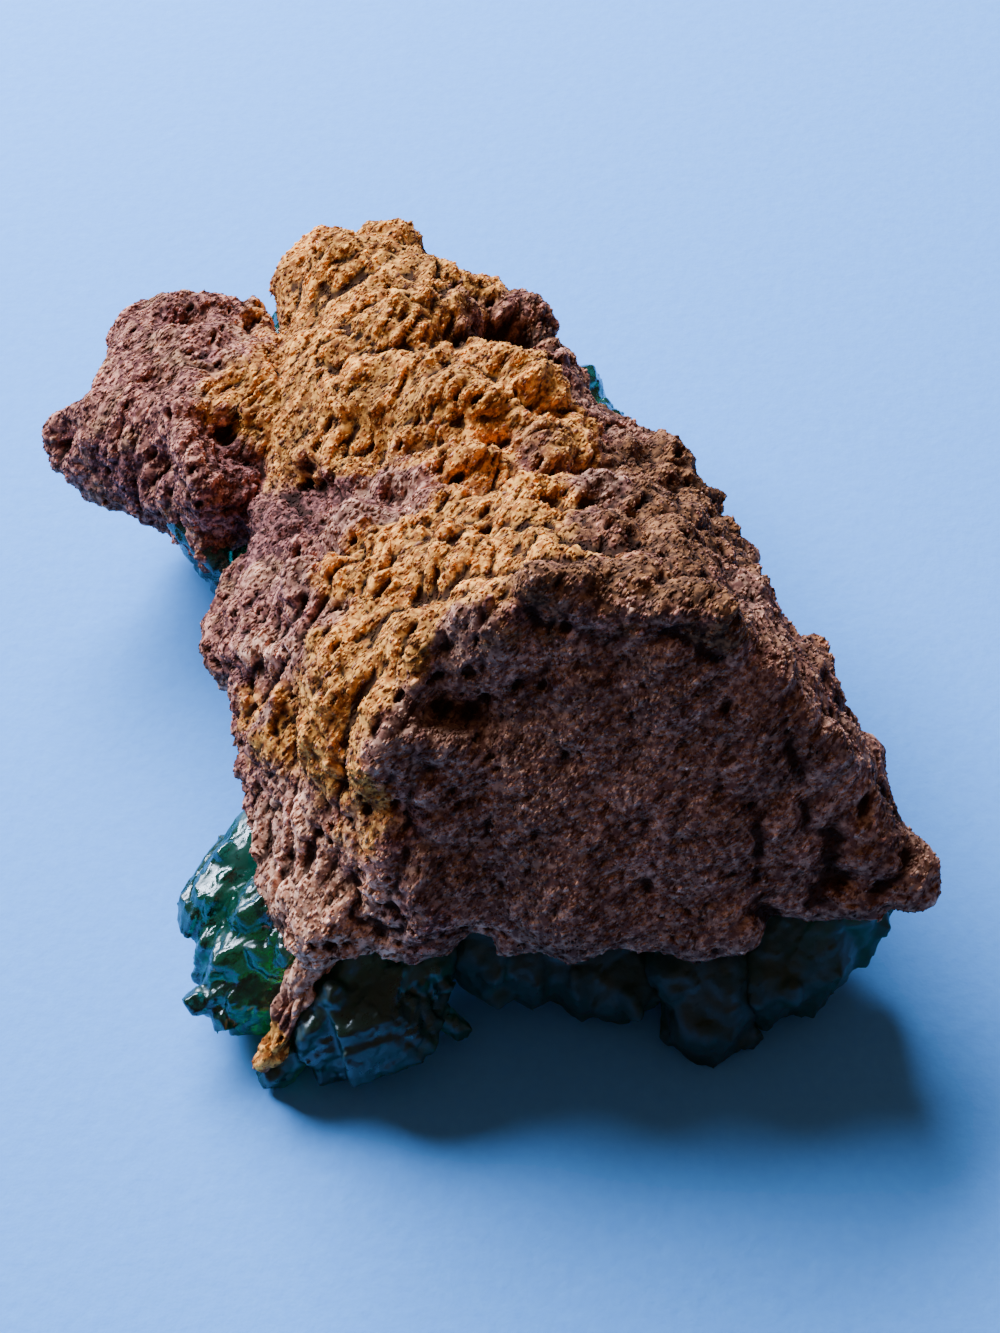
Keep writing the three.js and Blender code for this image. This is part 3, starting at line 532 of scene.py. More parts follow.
# Where each colour of the rock lies: the middle of a patch, and its radius.  Purple has no
# clay of its own: there the pink clay shows, which lies under all.
PATCHES = {
    "ochre": [
        [-9, 28, 19, 7], [-7, 23, 19, 8], [-4, 15, 21, 8], [-10, 17, 20, 6], [-1, 21, 19, 7],
        [-1, 8, 22, 7], [4, 9, 20, 4.5], [-14, 12, 16, 3], [2, -5, 25, 4], [6, -7, 26, 4],
        [-2, -11, 26, 4.5], [2, -12, 27, 5], [7, -11.5, 27, 3.5], [6, -13.5, 28.5, 3],
        [-8, -16, 23, 4], [-7, -21, 22, 3.5], [-9.5, -22.5, 17.5, 3.4], [-7.5, -26, 17, 2.8],
        [-4.6, -19.6, 24.3, 3.2], [-3, -17, 26, 3.2], [0.5, -16.2, 28, 2.8],
        [-6.4, -23.4, 20, 2.8], [-5.5, -21.5, 22.5, 3], [-3.5, -18, 25.5, 3], [-0.5, -16, 27.5, 3],
        [3.5, -15.3, 28.8, 2.4], [-7, -24.5, 18.5, 2.8], [-7.8, -27, 15.5, 2.2],
        [-1.5, -18.4, 26.6, 2.4], [-3, 26, 18, 5], [2, 25, 17, 3.4], [7.5, 7, 19.8, 3.2],
        [9.5, 3, 20, 2.8], [5.5, 10.5, 20.4, 3], [-14.2, 9.8, 16.2, 3], [-15.8, 13.4, 16, 2.4],
        [-12.2, 7, 16.6, 2.4], [3, -1, 22, 2.8], [-4, 5.5, 20.5, 3], [2, 4.5, 21, 3],
        [-7.5, 7.5, 19.5, 2.8], [6, -2, 23.5, 2.8], [-3, -7, 24, 2.6], [0, -5.5, 24.5, 3],
        [7, -13, 28, 3.4], [11, -13.5, 28, 3], [-5.5, -10, 23.4, 2.2], [-11.5, -18, 17, 2.4],
        [-5, -14, 24, 4], [-15, -8, 15, 2], [-13.6, -15, 15.3, 3], [-12, -19.4, 16.4, 2.8],
        [-10.4, -22.6, 18, 2.4], [4, -22.4, 25.2, 1.6], [1.6, -23, 23.6, 1.3],
        [-12.4, -36, 3.2, 1.6], [-6, -28, 15, 1.6], [-16.4, 12.8, 17, 2.4], [-16.2, 10.2, 16, 2],
    ],
    # Rust: dark brown, partly rust and partly painted shade on the right flank, the crest, the
    # back bump and the lobe's hollows, which face away from the light.
    "rust": [
        [-16.8, 10.6, 15.2, 2.2], [-14.6, 6.2, 14.6, 2], [4, -16, 29, 2], [8, -15.5, 30, 2.4],
        [12, -15.6, 30, 2.4], [2.5, -18, 28.8, 1.8], [6, -17.8, 29.8, 2.2], [9.5, -17, 30, 2.2],
        [13, -16.8, 29.4, 2.2], [17, -18, 29.2, 2.2], [10.5, 5, 19, 2.6], [12.5, 4.5, 17.5, 4],
        [6, 2.3, 20, 2], [16, -7.5, 24, 4], [11, -10.5, 26.8, 3.5], [13.6, -10, 26, 3.5],
        [17, -16, 28.5, 3.5], [10, -15, 29, 3.2], [15, -17, 29, 3.5], [21, -18, 23.8, 4],
        [25.5, -18, 18.5, 5], [4.5, 22, 14, 5], [3, 23, 15.5, 3.5], [8.5, 9.8, 19.5, 2],
        [-17.9, 16.7, 15.6, 2.2], [20, -6, 19, 6], [14, 2, 17, 5], [18, 5, 13, 6], [10, 16, 13, 6],
        [28, -25, 15, 3], [-17, 8, 14, 2.2], [-7, 5.5, 19, 1.6], [-22, 22.5, 16.5, 2],
        [-4.5, -26, 18, 2.2], [19, 6, 15, 5], [24, -10, 15, 6], [29, -20, 13, 5],
    ],
    "purple": [
        [-22, 22, 15, 7], [-27, 17, 15, 6], [-30, 12, 12, 6], [-22, 9, 14, 7], [-18.5, 4, 13, 5],
        [-17.6, 19, 16, 2.6], [-12, 3.4, 15, 4], [-9.5, 0, 17, 4.5], [-5, -1, 20, 2.6],
        [-11, -5, 18, 4], [-17, -6, 14, 4], [-12, -11, 20, 3], [-16, -14, 12, 3],
        [-12, -26, 12.5, 5], [-7, -28, 15.5, 3.8], [-10, -31.5, 10.5, 4.6], [-4, -32, 12, 4],
        [-18, -8, 13, 4], [-14.5, -20, 11, 4], [-1, -1, 21.5, 2.2], [-24, 15, 9, 12],
    ],
    # Pale: painted light, a paler clay on the lower left, the left flank and the lobe's rib, where
    # the rock faces the light.
    "pale": [
        [-12.6, -21.5, 13.6, 2.6], [-8.3, -26.5, 15.8, 3], [-10, -29, 12, 3.6],
        [-7.6, -31.8, 12, 3.6], [-5.9, -29.5, 14.3, 2.8], [-13, -25, 11, 2.6],
        [-12.4, -15.4, 17.8, 2.6], [-15.5, -5.5, 15.9, 3], [-21.3, 10.2, 17.9, 1.6],
        [-19.1, 4.7, 17.3, 1.6], [-20.2, 7.5, 17.9, 1.6], [-8.2, -29.6, 13.4, 3],
        [-5.6, -31.1, 12, 3.4], [-8.9, -31.9, 12.1, 2.8], [-14.3, -11.4, 17.3, 2.6],
        [-11, -31.5, 9, 2.4], [-5.5, -32, 11, 3], [-11.8, -27.5, 10.5, 3], [-10.8, -24, 15.6, 2.2],
        [-10.3, -33.4, 7.6, 1.8], [-14.6, -3, 16, 2.4],
    ],
    # Plum: a wine-brown colour, and partly painted shade in the valley and the lobe's hollows.
    "plum": [
        [-14.8, 4.9, 14.2, 2.4], [-13, 0.6, 16.6, 2.8], [-11.4, -0.6, 16.8, 2.4],
        [-10.3, 4.8, 16.4, 2], [-8.9, -5.3, 20.9, 1.5], [-7.9, 3.6, 18.7, 1.4],
        [-5.7, 2.9, 19.4, 1.1], [-13.6, -1.2, 16.4, 2.2], [-15, -2.2, 15.4, 1.8],
        [-6.6, -0.6, 19.9, 1.4], [-10.2, 1.6, 17.4, 1.8], [-18.4, 15.8, 17, 1.9],
        [-18, 8.4, 15.4, 1.7], [-16.3, 6.3, 14.9, 2], [-18.4, 6.6, 16.4, 1.1],
        [-22.6, 9.1, 15, 1.6], [-21, 6.4, 15.2, 1.5], [-22, 22, 15.5, 2], [-25, 9, 10, 3],
        [-14.4, -8.5, 16, 1.6], [-15.6, -12, 15, 1.6],
    ],
    "dark": [
        [9, -26, 19, 11], [3, -27, 18, 7], [16, -26, 19, 10], [22, -26, 17, 8], [28, -26, 13, 7],
        [9, -31, 14, 8], [18, -30, 13, 8], [24, -28, 12, 6], [30, -25, 13, 6], [4.5, -24.5, 22, 4],
        [12, -24, 22.4, 5], [0, 0, 9, 16], [0, -20, 9, 16], [0, 20, 9, 14], [20, -15, 9, 14],
        [18, -20.5, 26.5, 3], [-9.9, 2.3, 15.4, 1], [-2.4, 0.4, 21.2, 2], [-15.5, 25.5, 13.5, 2.6],
        [3, -21, 25.4, 2.4], [8, -21, 26, 2.8], [13, -21, 26, 2.8], [0.4, -21.8, 24, 2.2],
    ],
}
OVERLAID = ("plum",)              # these lie over the other colours and don't push them aside
OVERLAID_EDGE = (0.2, 0.75)        # the sum of an overlaid colour's bells where it begins, and where it is full
SEAMS = [                       # how the borders wander
    {"size": 4.5, "sway": 2.6, "seeds": (51, 52, 53)},
    {"size": 1.6, "sway": 1.3, "seeds": (54, 55, 56)},
]


def patch_share(points, name):
    """How much of one colour lies at each place, from 0 to 1: the squared bells of its patches
    over those of all the grounds, or an overlaid colour's own bells, with borders led astray by a
    cloud."""
    strayed = points.copy()
    for seam in SEAMS:
        sway = [cloud(points, seam["size"], seed) for seed in seam["seeds"]]
        strayed += seam["sway"] * np.stack(sway, axis=1)

    def bells(patches):
        total = np.zeros(len(points))
        for *middle, radius in patches:
            total += bell(strayed, middle, radius)
        return total + 1e-6     # so that no place is without a colour

    if name in OVERLAID:
        return eased(bells(PATCHES[name]), *OVERLAID_EDGE)
    grounds = [bells(PATCHES[patch]) ** 2 for patch in PATCHES if patch not in OVERLAID]
    return bells(PATCHES[name]) ** 2 / sum(grounds)


def linear(code):
    """An sRGB hex colour as the linear red, green, blue and alpha that shaders use."""
    shares = [int(code[k : k + 2], 16) / 255 for k in (1, 3, 5)]
    return (*(s / 12.92 if s <= 0.04045 else ((s + 0.055) / 1.055) ** 2.4 for s in shares), 1.0)


def fill(made, sockets):
    """Fills inputs of a node, by name or number, each with a value or with the output of
    another node."""
    for name, value in dict(sockets).items():
        if isinstance(value, bpy.types.NodeSocket):
            made.id_data.links.new(value, made.inputs[name])
        else:
            made.inputs[name].default_value = value


def node(material, kind, sockets=(), **settings):
    """Adds a node with its settings and what fills its inputs."""
    made = given(material.node_tree.nodes.new(kind), **settings)
    fill(made, sockets)
    return made


NOISE_ROUGHNESS = 0.6
RELIEF_STRENGTH = 0.5
FACTOR, UNDER, OVER, MIXED = 0, 6, 7, 2      # the colour sockets of a mix node


def finish(name, relief, *spots):
    """A new material with its shader, the places of a mesh in millimetres, and noise with
    spots of each size and detail.  The finest relief is such noise too, and has a depth."""
    material = bpy.data.materials.new(name)
    material.use_nodes = True
    surface = material.node_tree.nodes["Principled BSDF"]
    place = node(material, "ShaderNodeTexCoord").outputs["Object"]
    sockets = {"Vector": place, "Scale": (1 / MM,) * 3}
    place = node(material, "ShaderNodeMapping", sockets).outputs[0]
    noises = []
    *finest, depth = relief
    for size, detail in (finest, *spots):
        sockets = {"Vector": place, "Scale": 1 / size, "Detail": detail}
        sockets["Roughness"] = NOISE_ROUGHNESS
        noises.append(node(material, "ShaderNodeTexNoise", sockets).outputs["Fac"])
    sockets = {"Height": noises[0], "Strength": RELIEF_STRENGTH, "Distance": depth * MM}
    fill(surface, {"Normal": node(material, "ShaderNodeBump", sockets).outputs[0]})
    return material, surface, place, noises[1:]


def laid(under, over, value, low, high, least=0.0, most=1.0):
    """One colour of the rock laid over another: its share is eased from least to most while a
    value goes from low to high."""
    sockets = {"Value": value, "From Min": low, "From Max": high}
    sockets |= {"To Min": least, "To Max": most}
    share = node(limonite, "ShaderNodeMapRange", sockets, interpolation_type="SMOOTHSTEP")
    sockets = {FACTOR: share.outputs[0], UNDER: under, OVER: over}
    return node(limonite, "ShaderNodeMix", sockets, data_type="RGBA").outputs[MIXED]


# Limonite, weathered: dull and earthy, every grain of another shade, painted shade down in
# the hollows and pores, and here and there a whiter grain of quartz with a painted glint.
GRIT = (0.22, 3, 0.08)          # size, detail and depth
SPOTS = [(0.5, 3), (2.6, 4), (7, 2)]         # of grains, of patches and broad ones
limonite, surface, place, shades = finish("weathered_limonite", GRIT, *SPOTS)
grain_shade, patch_shade, broad_shade = shades

PORE = {"width": 0.5, "length": 1.6}
PORE_EDGE = (0.34, 0.42)        # the noise below this is a pore, painted dark as its shade
# Painted shade: the colour that darkens the pores.
PORE_PAINTED_SHADE = {"colour": "#4A220C", "share": 0.85}
rise = math.asin(unit(FABRIC_WAY)[2])
turn = math.atan2(FABRIC_WAY[1], FABRIC_WAY[0])
sockets = {"Vector": place, "Rotation": (0, -rise, turn)}
sockets["Scale"] = (PORE["length"], PORE["width"], PORE["width"])
along_fabric = node(limonite, "ShaderNodeMapping", sockets, vector_type="TEXTURE").outputs[0]
sockets = {"Vector": along_fabric, "Scale": 1.0, "Detail": 2, "Roughness": NOISE_ROUGHNESS}
painted_pore_shade = node(limonite, "ShaderNodeTexNoise", sockets).outputs["Fac"]

# The clays: the colours of their dark and pale grains, and the grain shades between them.
CLAYS = {
    "pink": ("#5E302A", "#D08268", 0.4, 0.64),
    "tan": ("#6A4C2C", "#B8925E", 0.4, 0.64),
    "ochre": ("#9C5420", "#FFAA4C", 0.38, 0.64),
    # partly painted shade
    "rust": ("#4C2C1A", "#965E38", 0.38, 0.64),
    # partly painted shade
    "plum": ("#482622", "#A86458", 0.4, 0.64),
    "dark": ("#7A4A3A", "#C28A6C", 0.4, 0.65),
    # painted light
    "pale": ("#AC6A4C", "#FCB890", 0.4, 0.62),
}
# The coats over the pink clay, from the lowest: how far the patchy shade moves their border,
# and the shares of a patch between which they fade in.
COATS = {
    "pale": (0.8, 0.1, 0.8),
    "ochre": (1.3, 0.15, 0.85),
    "rust": (1.3, 0.15, 0.85),
    "plum": (1.1, 0.15, 0.75),
    "dark": (0.8, 0.25, 0.85),
}
SPOTTED = {"ochre": (0.45, 0.75, 0, 0.4), "pink": (0.5, 0.66, 0, 0.4)}   # by rust, and by tan
# Painted shade: the colour that darkens places deep in a hollow.
HOLLOW_PAINTED_SHADE = {"colour": "#2E160B", "share": 0.93, "full": 0.7}
PAINTED_STRIP_CONTRAST = 0.75           # painted light and shade: how much paler the crowns of the strips are than their creases

clays = {
    name: laid(linear(dark), linear(pale), grain_shade, *between)
    for name, (dark, pale, *between) in CLAYS.items()
}
kept = {
    name: node(limonite, "ShaderNodeAttribute", attribute_name=name).outputs["Fac"]
    for name in (*COATS, "hollow", "tone", "shade")
}
clays["ochre"] = laid(clays["ochre"], clays["rust"], broad_shade, *SPOTTED["ochre"])
colour = laid(clays["pink"], clays["tan"], patch_shade, *SPOTTED["pink"])
astray = {0: patch_shade, 1: 0.5}
astray = node(limonite, "ShaderNodeMath", astray, operation="SUBTRACT").outputs[0]
for name, (swing, low, high) in COATS.items():
    share = {0: astray, 1: swing, 2: kept[name]}
    share = node(limonite, "ShaderNodeMath", share, operation="MULTIPLY_ADD").outputs[0]
    colour = laid(colour, clays[name], share, low, high)
# Painted shade in the hollows, laid over the clays.
stain, share = linear(HOLLOW_PAINTED_SHADE["colour"]), HOLLOW_PAINTED_SHADE["share"]
colour = laid(colour, stain, kept["hollow"], 0.0, HOLLOW_PAINTED_SHADE["full"], 0.0, share)
# Painted shade in the pores: dark dashes drawn out along the fabric.
stain, share = linear(PORE_PAINTED_SHADE["colour"]), PORE_PAINTED_SHADE["share"]
colour = laid(colour, stain, painted_pore_shade, *PORE_EDGE, share, 0.0)
# Each grain's own tone, with painted light on the crowns of the strips and painted shade in their
# creases.
tone = {0: kept["tone"], 1: 1.0}
tone = node(limonite, "ShaderNodeMath", tone, operation="ADD").outputs[0]
tone = {0: kept["shade"], 1: PAINTED_STRIP_CONTRAST, 2: tone}
tone = node(limonite, "ShaderNodeMath", tone, operation="MULTIPLY_ADD").outputs[0]
toned = node(limonite, "ShaderNodeVectorMath", {0: colour, "Scale": tone}, operation="SCALE")
fill(surface, {
    "Base Color": toned.outputs[0],
    "Roughness": 0.92,
    "Specular IOR Level": 0.12,
})


def number_at(piece, name):
    """The numbers that a mesh keeps at its places."""
    return rows_of(piece.data.attributes[name].data, "value", 1)[:, 0]


def clad(piece, material):
    """Gives a piece its one material."""
    piece.data.materials.clear()
    piece.data.materials.append(material)


def dress_rock(piece, where, hollow_shades, tones, strays=0):
    """Keeps on a mesh what the rock's finish reads: its patch shares, the painted shade of its
    hollows, and its tones.
    """
    for patch in COATS:
        set_number(piece, patch, patch_share(where, patch) + strays)
    set_number(piece, "hollow", hollow_shades)
    set_number(piece, "tone", tones)
    clad(piece, limonite)


for piece in (rock, lobe):
    seats = places_of(piece)
    dress_rock(piece, seats, number_at(piece, "hollow"), np.zeros(len(seats)))

# ---- the grains --------------------------------------------------------------------------
# Sand grains that the limonite holds stand out of it all over and give it a sugary skin.
# Each is a small eight-sided lump, sunk to its middle, and no two are alike.

GRAIN_LAYERS = 3                # pieces, each under the limit on faces
GRAIN_COUNT = 24000             # in a piece
GRAIN_RADIUS = 0.125
GRAIN_STRETCH = 1.9             # along the fabric
GRAIN_SINK = 0.3                # how much flatter than wide
GRAIN_SPREAD = 0.28             # how much the radii differ
GRAIN_CORNERS = (0.6, 1.25)     # how far out its corners are, in radii
UNSEEN = {"share": 0.4, "bottom": 8, "top": 12}    # grains are sparser underneath
FACE_SHARE = 0.8                # and denser on the worn face by this much more
PAINTED_GLINTS = {"share": 0.004, "tone": 1.8}       # clean grains of quartz, whiter, and painted paler still as glints
GRAIN_TONE = (0.05, 0.24)       # the mean and spread of how much paler a grain is
GRAIN_STRAY = 0.22              # how far a grain's colour may be from that of its patch
OCTAHEDRON = np.array([[1, 0, 0], [-1, 0, 0], [0, 1, 0], [0, -1, 0], [0, 0, 1], [0, 0, -1]], float)
OCTAHEDRON_FACES = np.array([
    [0, 2, 4], [2, 1, 4], [1, 3, 4], [3, 0, 4], [2, 0, 5], [1, 2, 5], [3, 1, 5], [0, 3, 5],
])
GRAIN_ENDS = len(OCTAHEDRON)
GRAIN_SEED = 100


def triangles_of(piece):
    """The corners of a mesh's triangles, as rows of numbers."""
    piece.data.calc_loop_triangles()
    return rows_of(piece.data.loop_triangles, "vertices", kind=np.int32)


def turned(random, shapes):
    """Each shape of a stack turned its own way, by a random quaternion's matrix."""
    quaternions = random.normal(size=(4, len(shapes)))
    w, x, y, z = quaternions / np.sqrt((quaternions**2).sum(axis=0))
    turn = np.array([
        [1 - 2 * (y * y + z * z), 2 * (x * y - z * w), 2 * (x * z + y * w)],
        [2 * (x * y + z * w), 1 - 2 * (x * x + z * z), 2 * (y * z - x * w)],
        [2 * (x * z - y * w), 2 * (y * z + x * w), 1 - 2 * (x * x + y * y)],
    ])
    return np.einsum("ijn,nkj->nki", turn, shapes)


def at_corners(name):
    """A number that the rock's meshes keep, at the three corners of each of their triangles."""
    return np.concatenate([number_at(piece, name)[triangles_of(piece)] for piece in (rock, lobe)])


rock_corners = np.concatenate([places_of(piece)[triangles_of(piece)] for piece in (rock, lobe)])
rock_hollow_shades = at_corners("hollow")
rock_strip_shading = at_corners("shade")
sides = rock_corners[:, 1:] - rock_corners[:, :1]
rock_normals = np.cross(sides[:, 0], sides[:, 1])
room = np.linalg.norm(rock_normals, axis=1)
rock_normals /= room[:, None]
middles = rock_corners.mean(axis=1)
above = eased(rock_corners[:, :, 2].mean(axis=1), UNSEEN["bottom"], UNSEEN["top"])
room *= UNSEEN["share"] + (1 - UNSEEN["share"]) * above
room *= 1 + FACE_SHARE * bell(middles, FRONT_FACE["heart"], FRONT_FACE["radius"], FLAT_TOP)
way = unit(FABRIC_WAY)
for layer in range(GRAIN_LAYERS):
    random = np.random.default_rng(GRAIN_SEED + layer)
    on = random.choice(len(room), GRAIN_COUNT, p=room / room.sum())
    shares = random.dirichlet((1, 1, 1), GRAIN_COUNT)
    seats = np.einsum("nk,nkj->nj", shares, rock_corners[on])
    radii = GRAIN_RADIUS * np.exp(GRAIN_SPREAD * random.normal(size=GRAIN_COUNT))
    shapes = OCTAHEDRON * random.uniform(*GRAIN_CORNERS, (GRAIN_COUNT, GRAIN_ENDS, 1))
    shapes = turned(random, shapes * radii[:, None, None])
    outs = rock_normals[on]
    ways = way - (outs @ way)[:, None] * outs
    for course, more in ((ways, GRAIN_STRETCH - 1), (outs, -GRAIN_SINK)):
        along = np.einsum("nkj,nj->nk", shapes, course)[..., None]
        shapes += more * along * course[:, None]
    places = (shapes + seats[:, None]).reshape(-1, 3)
    faces = OCTAHEDRON_FACES + GRAIN_ENDS * np.arange(GRAIN_COUNT)[:, None, None]
    grains = mesh_object(f"sand_grains_{layer + 1}", places, faces.reshape(-1, 3))
    hollow_shades = (shares * rock_hollow_shades[on]).sum(axis=1)
    tones = random.normal(*GRAIN_TONE, GRAIN_COUNT)
    # Painted glints: a few grains of quartz painted far paler than the rest.
    tones[random.random(GRAIN_COUNT) < PAINTED_GLINTS["share"]] = PAINTED_GLINTS["tone"]
    strays = GRAIN_STRAY * random.normal(size=GRAIN_COUNT)
    kept = (seats, hollow_shades, tones, strays, (shares * rock_strip_shading[on]).sum(axis=1))
    *kept, grain_strip_shading = (np.repeat(values, GRAIN_ENDS, axis=0) for values in kept)
    dress_rock(grains, *kept)
    set_number(grains, "shade", grain_strip_shading)
    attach(grains, "root")

# ---- the crystals ------------------------------------------------------------------------
# Dioptase, a green copper silicate, grew from the rock as short six-sided prisms ended by
# three sloping faces.  Each has younger prisms beside it on the same axes, in steps, and
# small ones on its flanks.  The crystals of a cluster grew into one another and are one body.
# STEPS and SPROUTS are in radii, apart from the sprouts' own radius and turn.

END_SLOPE = 1.233               # the end faces fall this much for each millimetre outwards
WORN_EDGE = {"most": 0.16, "share": 0.12}    # width of the worn edges, and in radii
STEPS = {"least": 2, "most": 4, "out": (0.42, 0.62), "radius": (0.5, 0.68), "below": (0.2, 0.7)}
SPROUTS = {
    "each": 1.5, "radius": (0.6, 1.2), "out": (0.0, 0.5), "from": (0.5, 0.85),
    "forward": (0.1, 1.0), "flattest": 0.5, "turn": (0, 60),
}
FACETS = [(1.6, 0.09), (0.8, 0.07)]    # every face is broken up into facets: cell, tilt
FACET_TURNS = (40 * math.pi, 2.7)      # spread the facets' ways over all directions

# The crystals are worn: drawn again on a fine grid, smoothed, and etched in and out by noise
# of these sizes and rises.
WEAR = {"grid": 0.26, "rounding": 7, "etching": [(3.2, 0.4), (1.1, 0.13), (0.6, 0.05)]}
LEAST_WEAR = {"grid": 0.2, "rounding": 3, "etching": [(1.8, 0.1), (0.7, 0.05)]}
ETCHING_SEED, FACET_SEED, CRYSTAL_SEED = 61, 71, 200
MOST_WORN = ("front_crystals", "front_block_crystals", "right_crystals")
HALF_WORN = {"front_left_crystals": 0.45}    # how dull a fairly fresh cluster still is

# Root x, y, z, tip x, y, z, radius to the corners, turn about its own axis.
CLUSTERS = {
    "left_crystals": [
        [-12.6, -19.4, 8.2, -16.3, -24.8, 7.2, 1.9, 18],
        [-13.4, -20.4, 7.8, -17.5, -27.8, 6.4, 2.1, 18],
        [-15, -21.4, 6.5, -18.7, -28, 5.3, 1.7, 18], [-14, -18.6, 6.6, -17.7, -25, 5.6, 1.3, 18],
        [-12, -22, 5.5, -17.8, -26.4, 3.0, 2.2, 5], [-10, -28.5, 10.0, -15.3, -28.2, 8.1, 1.2, 0],
        [-9, -26, 7, -17.6, -31, 3.2, 3.6, 15], [-9, -26, 7, -15.5, -33.4, 1.4, 3.2, 30],
        [-9, -26, 7, -17, -31.4, 1.6, 2.8, 0], [-10, -25, 6, -15.2, -29.3, 8.8, 2.6, 20],
        [-8, -27, 6, -11.6, -30.2, 9.3, 2.4, 5], [-9, -27, 6, -12.8, -32.2, 7, 2.6, 50],
        [-9, -26, 7, -17.5, -32.2, 2, 2.6, 10], [-9, -25, 6, -18.4, -29.6, 2.4, 2.4, 35],
    ],
    "front_left_crystals": [
        [-8.4, -33.9, 3.8, -0.2, -31.3, 4.8, 4.1, 15], [-4, -26, 9, -10.8, -36.4, 2.2, 2.9, 20],
        [-9, -32, 5, -13.2, -37, 0.3, 1.6, 0], [-7.5, -31, 5, -8.4, -35, 8.1, 1.3, 20],
        [-5, -26, 8, -7.4, -36.6, 1.2, 3.4, 10], [-6, -28, 6, -9.2, -37.2, 1, 2.6, 40],
        [-5, -25, 9, -2, -33, 3.2, 3.4, 35],
    ],
    "front_crystals": [
        [3, -24, 10, 1.6, -31.9, 3.2, 2.8, 0], [5, -23, 9, 5.2, -32.2, 2, 3.2, 25],
        [7, -23, 9, 8.6, -32.2, 1.2, 3.2, 40], [9, -23, 9, 12, -32.4, 0.8, 3.3, 10],
    ],
    "front_block_crystals": [
        [17, -23, 10.5, 17.4, -35.2, -0.1, 3.6, 15], [15, -23, 10, 14.6, -32.6, 3, 2.6, 40],
    ],
    "right_crystals": [
        [20, -21, 10, 21, -33, 1, 3.6, 45], [21, -20, 11, 24.5, -32.3, 1.4, 4.2, 20],
        [23, -20, 10, 28.2, -29.5, 3.4, 3.6, 5], [24, -19, 9, 29, -26.8, 5, 2.8, 30],
    ],
    "back_right_crystals": [
        [4, 16, 10, 11.4, 23.8, 7, 2.8, 20], [6, 13, 10, 13, 20, 7, 2.8, 0],
        [4, 17, 10, 8, 25, 1.8, 3.0, 15],
    ],
    "left_notch_crystals": [
        [-15, 8, 10, -20, 4.4, 6, 1.9, 10], [-16, 9, 9, -20, 7, 2.5, 2.2, 30],
        [-16, 9, 10, -20.8, 4.4, 8.4, 1.6, 10], [-14, 7, 9, -18.8, 3.2, 7.6, 1.5, 40],
        [-21.3, 5.7, 11.5, -17.2, 1.1, 10.4, 1.15, 0],
        [-20.8, 6.6, 10.2, -18.8, 2.6, 9.9, 1.4, 30],
    ],
}

# Under the rock the crystals stand in rosettes that grew from one seed each: one crystal
# points down and the others fan out round it, leaning far and less far by turns.
RING = {"lean": 48, "far_lean": 62, "length": (0.85, 0.1), "width": (0.85, 0.15)}
RING_VARIETY = {"length": 2.4, "width": 1.7, "turn": 20}
MIDDLE_LEAN = np.array([0.5, 0.3, 0])   # how far the tip of the middle one is out of plumb

# Seed x, y, z, crystals in the ring, their radius, their length, turn of the ring.
ROSETTES = {
    "under_front_crystals": [4, -16, 11, 6, 3.4, 10, 10],
    "under_right_crystals": [18, -11, 10.5, 6, 3.4, 11, 40],
    "under_left_crystals": [-9, -11.5, 10.5, 6, 3.4, 9.8, 25],
    "under_middle_crystals": [8, 2, 10.5, 6, 3.4, 9.8, 5],
    "under_heart_crystals": [-7, 4, 10.5, 6, 3.2, 9.6, 50],
    "under_back_crystals": [-1, 17, 10.5, 6, 3.2, 10, 35],
    "under_end_crystals": [-8, 28, 10.5, 5, 2.9, 11, 15],
    "under_lobe_crystals": [-20, 17.5, 10.5, 5, 3.0, 11, 0],
}

PRISM_FACES = [                 # corners 0 to 5 round the top, 6 to 11 round the root, 12 the tip
    (12, 5, 0, 1), (12, 1, 2, 3), (12, 3, 4, 5), (11, 10, 9, 8, 7, 6),
    *((k, k + 6, (k + 1) % 6 + 6, (k + 1) % 6) for k in range(6)),
]
STEEP = 0.9                     # ways that rise more than this are steep


def axes_of(line):
    """A direction with two more, square to it and to each other."""
    along = unit(line)
    helper = UP if abs(along[2]) < STEEP else np.array([1.0, 0, 0])
    across = unit(np.cross(helper, along))
    return across, np.cross(along, across), along


def prism(root, tip, radius, turn):
    """A six-sided prism from root to tip.  Its edges stop by turns one and half a slope below
    the tip, so that three flat faces meet there."""
    across, over, along = axes_of(tip - root)
    angles = math.radians(turn) + np.arange(6) * math.pi / 3
    rim = radius * (np.cos(angles)[:, None] * across + np.sin(angles)[:, None] * over)
    fall = END_SLOPE * radius * np.where(np.arange(6) % 2, 0.5, 1.0)
    places = np.concatenate([tip + rim - fall[:, None] * along, root + rim, tip[None]])
    mesh = bpy.data.meshes.new("prism")
    mesh.from_pydata(((places + CENTRING) * MM).tolist(), [], PRISM_FACES)
    made = shown("prism", mesh)
    width = min(WORN_EDGE["most"], WORN_EDGE["share"] * radius) * MM
    edges = made.modifiers.new("worn_edges", "BEVEL")
    given(edges, width=width, segments=2, limit_method="ANGLE")
    return made


def with_steps(random, root, tip, radius, turn):
    """A crystal and the younger prisms beside it, on the same axes but shorter."""
    made = [prism(root, tip, radius, turn)]
    across, over, along = axes_of(tip - root)
    for _ in range(random.integers(STEPS["least"], STEPS["most"] + 1)):
        angle = random.uniform(0, 2 * math.pi)
        out = radius * random.uniform(*STEPS["out"])
        beside = out * (math.cos(angle) * across + math.sin(angle) * over)
        lower = beside - radius * random.uniform(*STEPS["below"]) * along
        slim = radius * random.uniform(*STEPS["radius"])
        made.append(prism(root + beside, tip + lower, slim, turn))
    return made


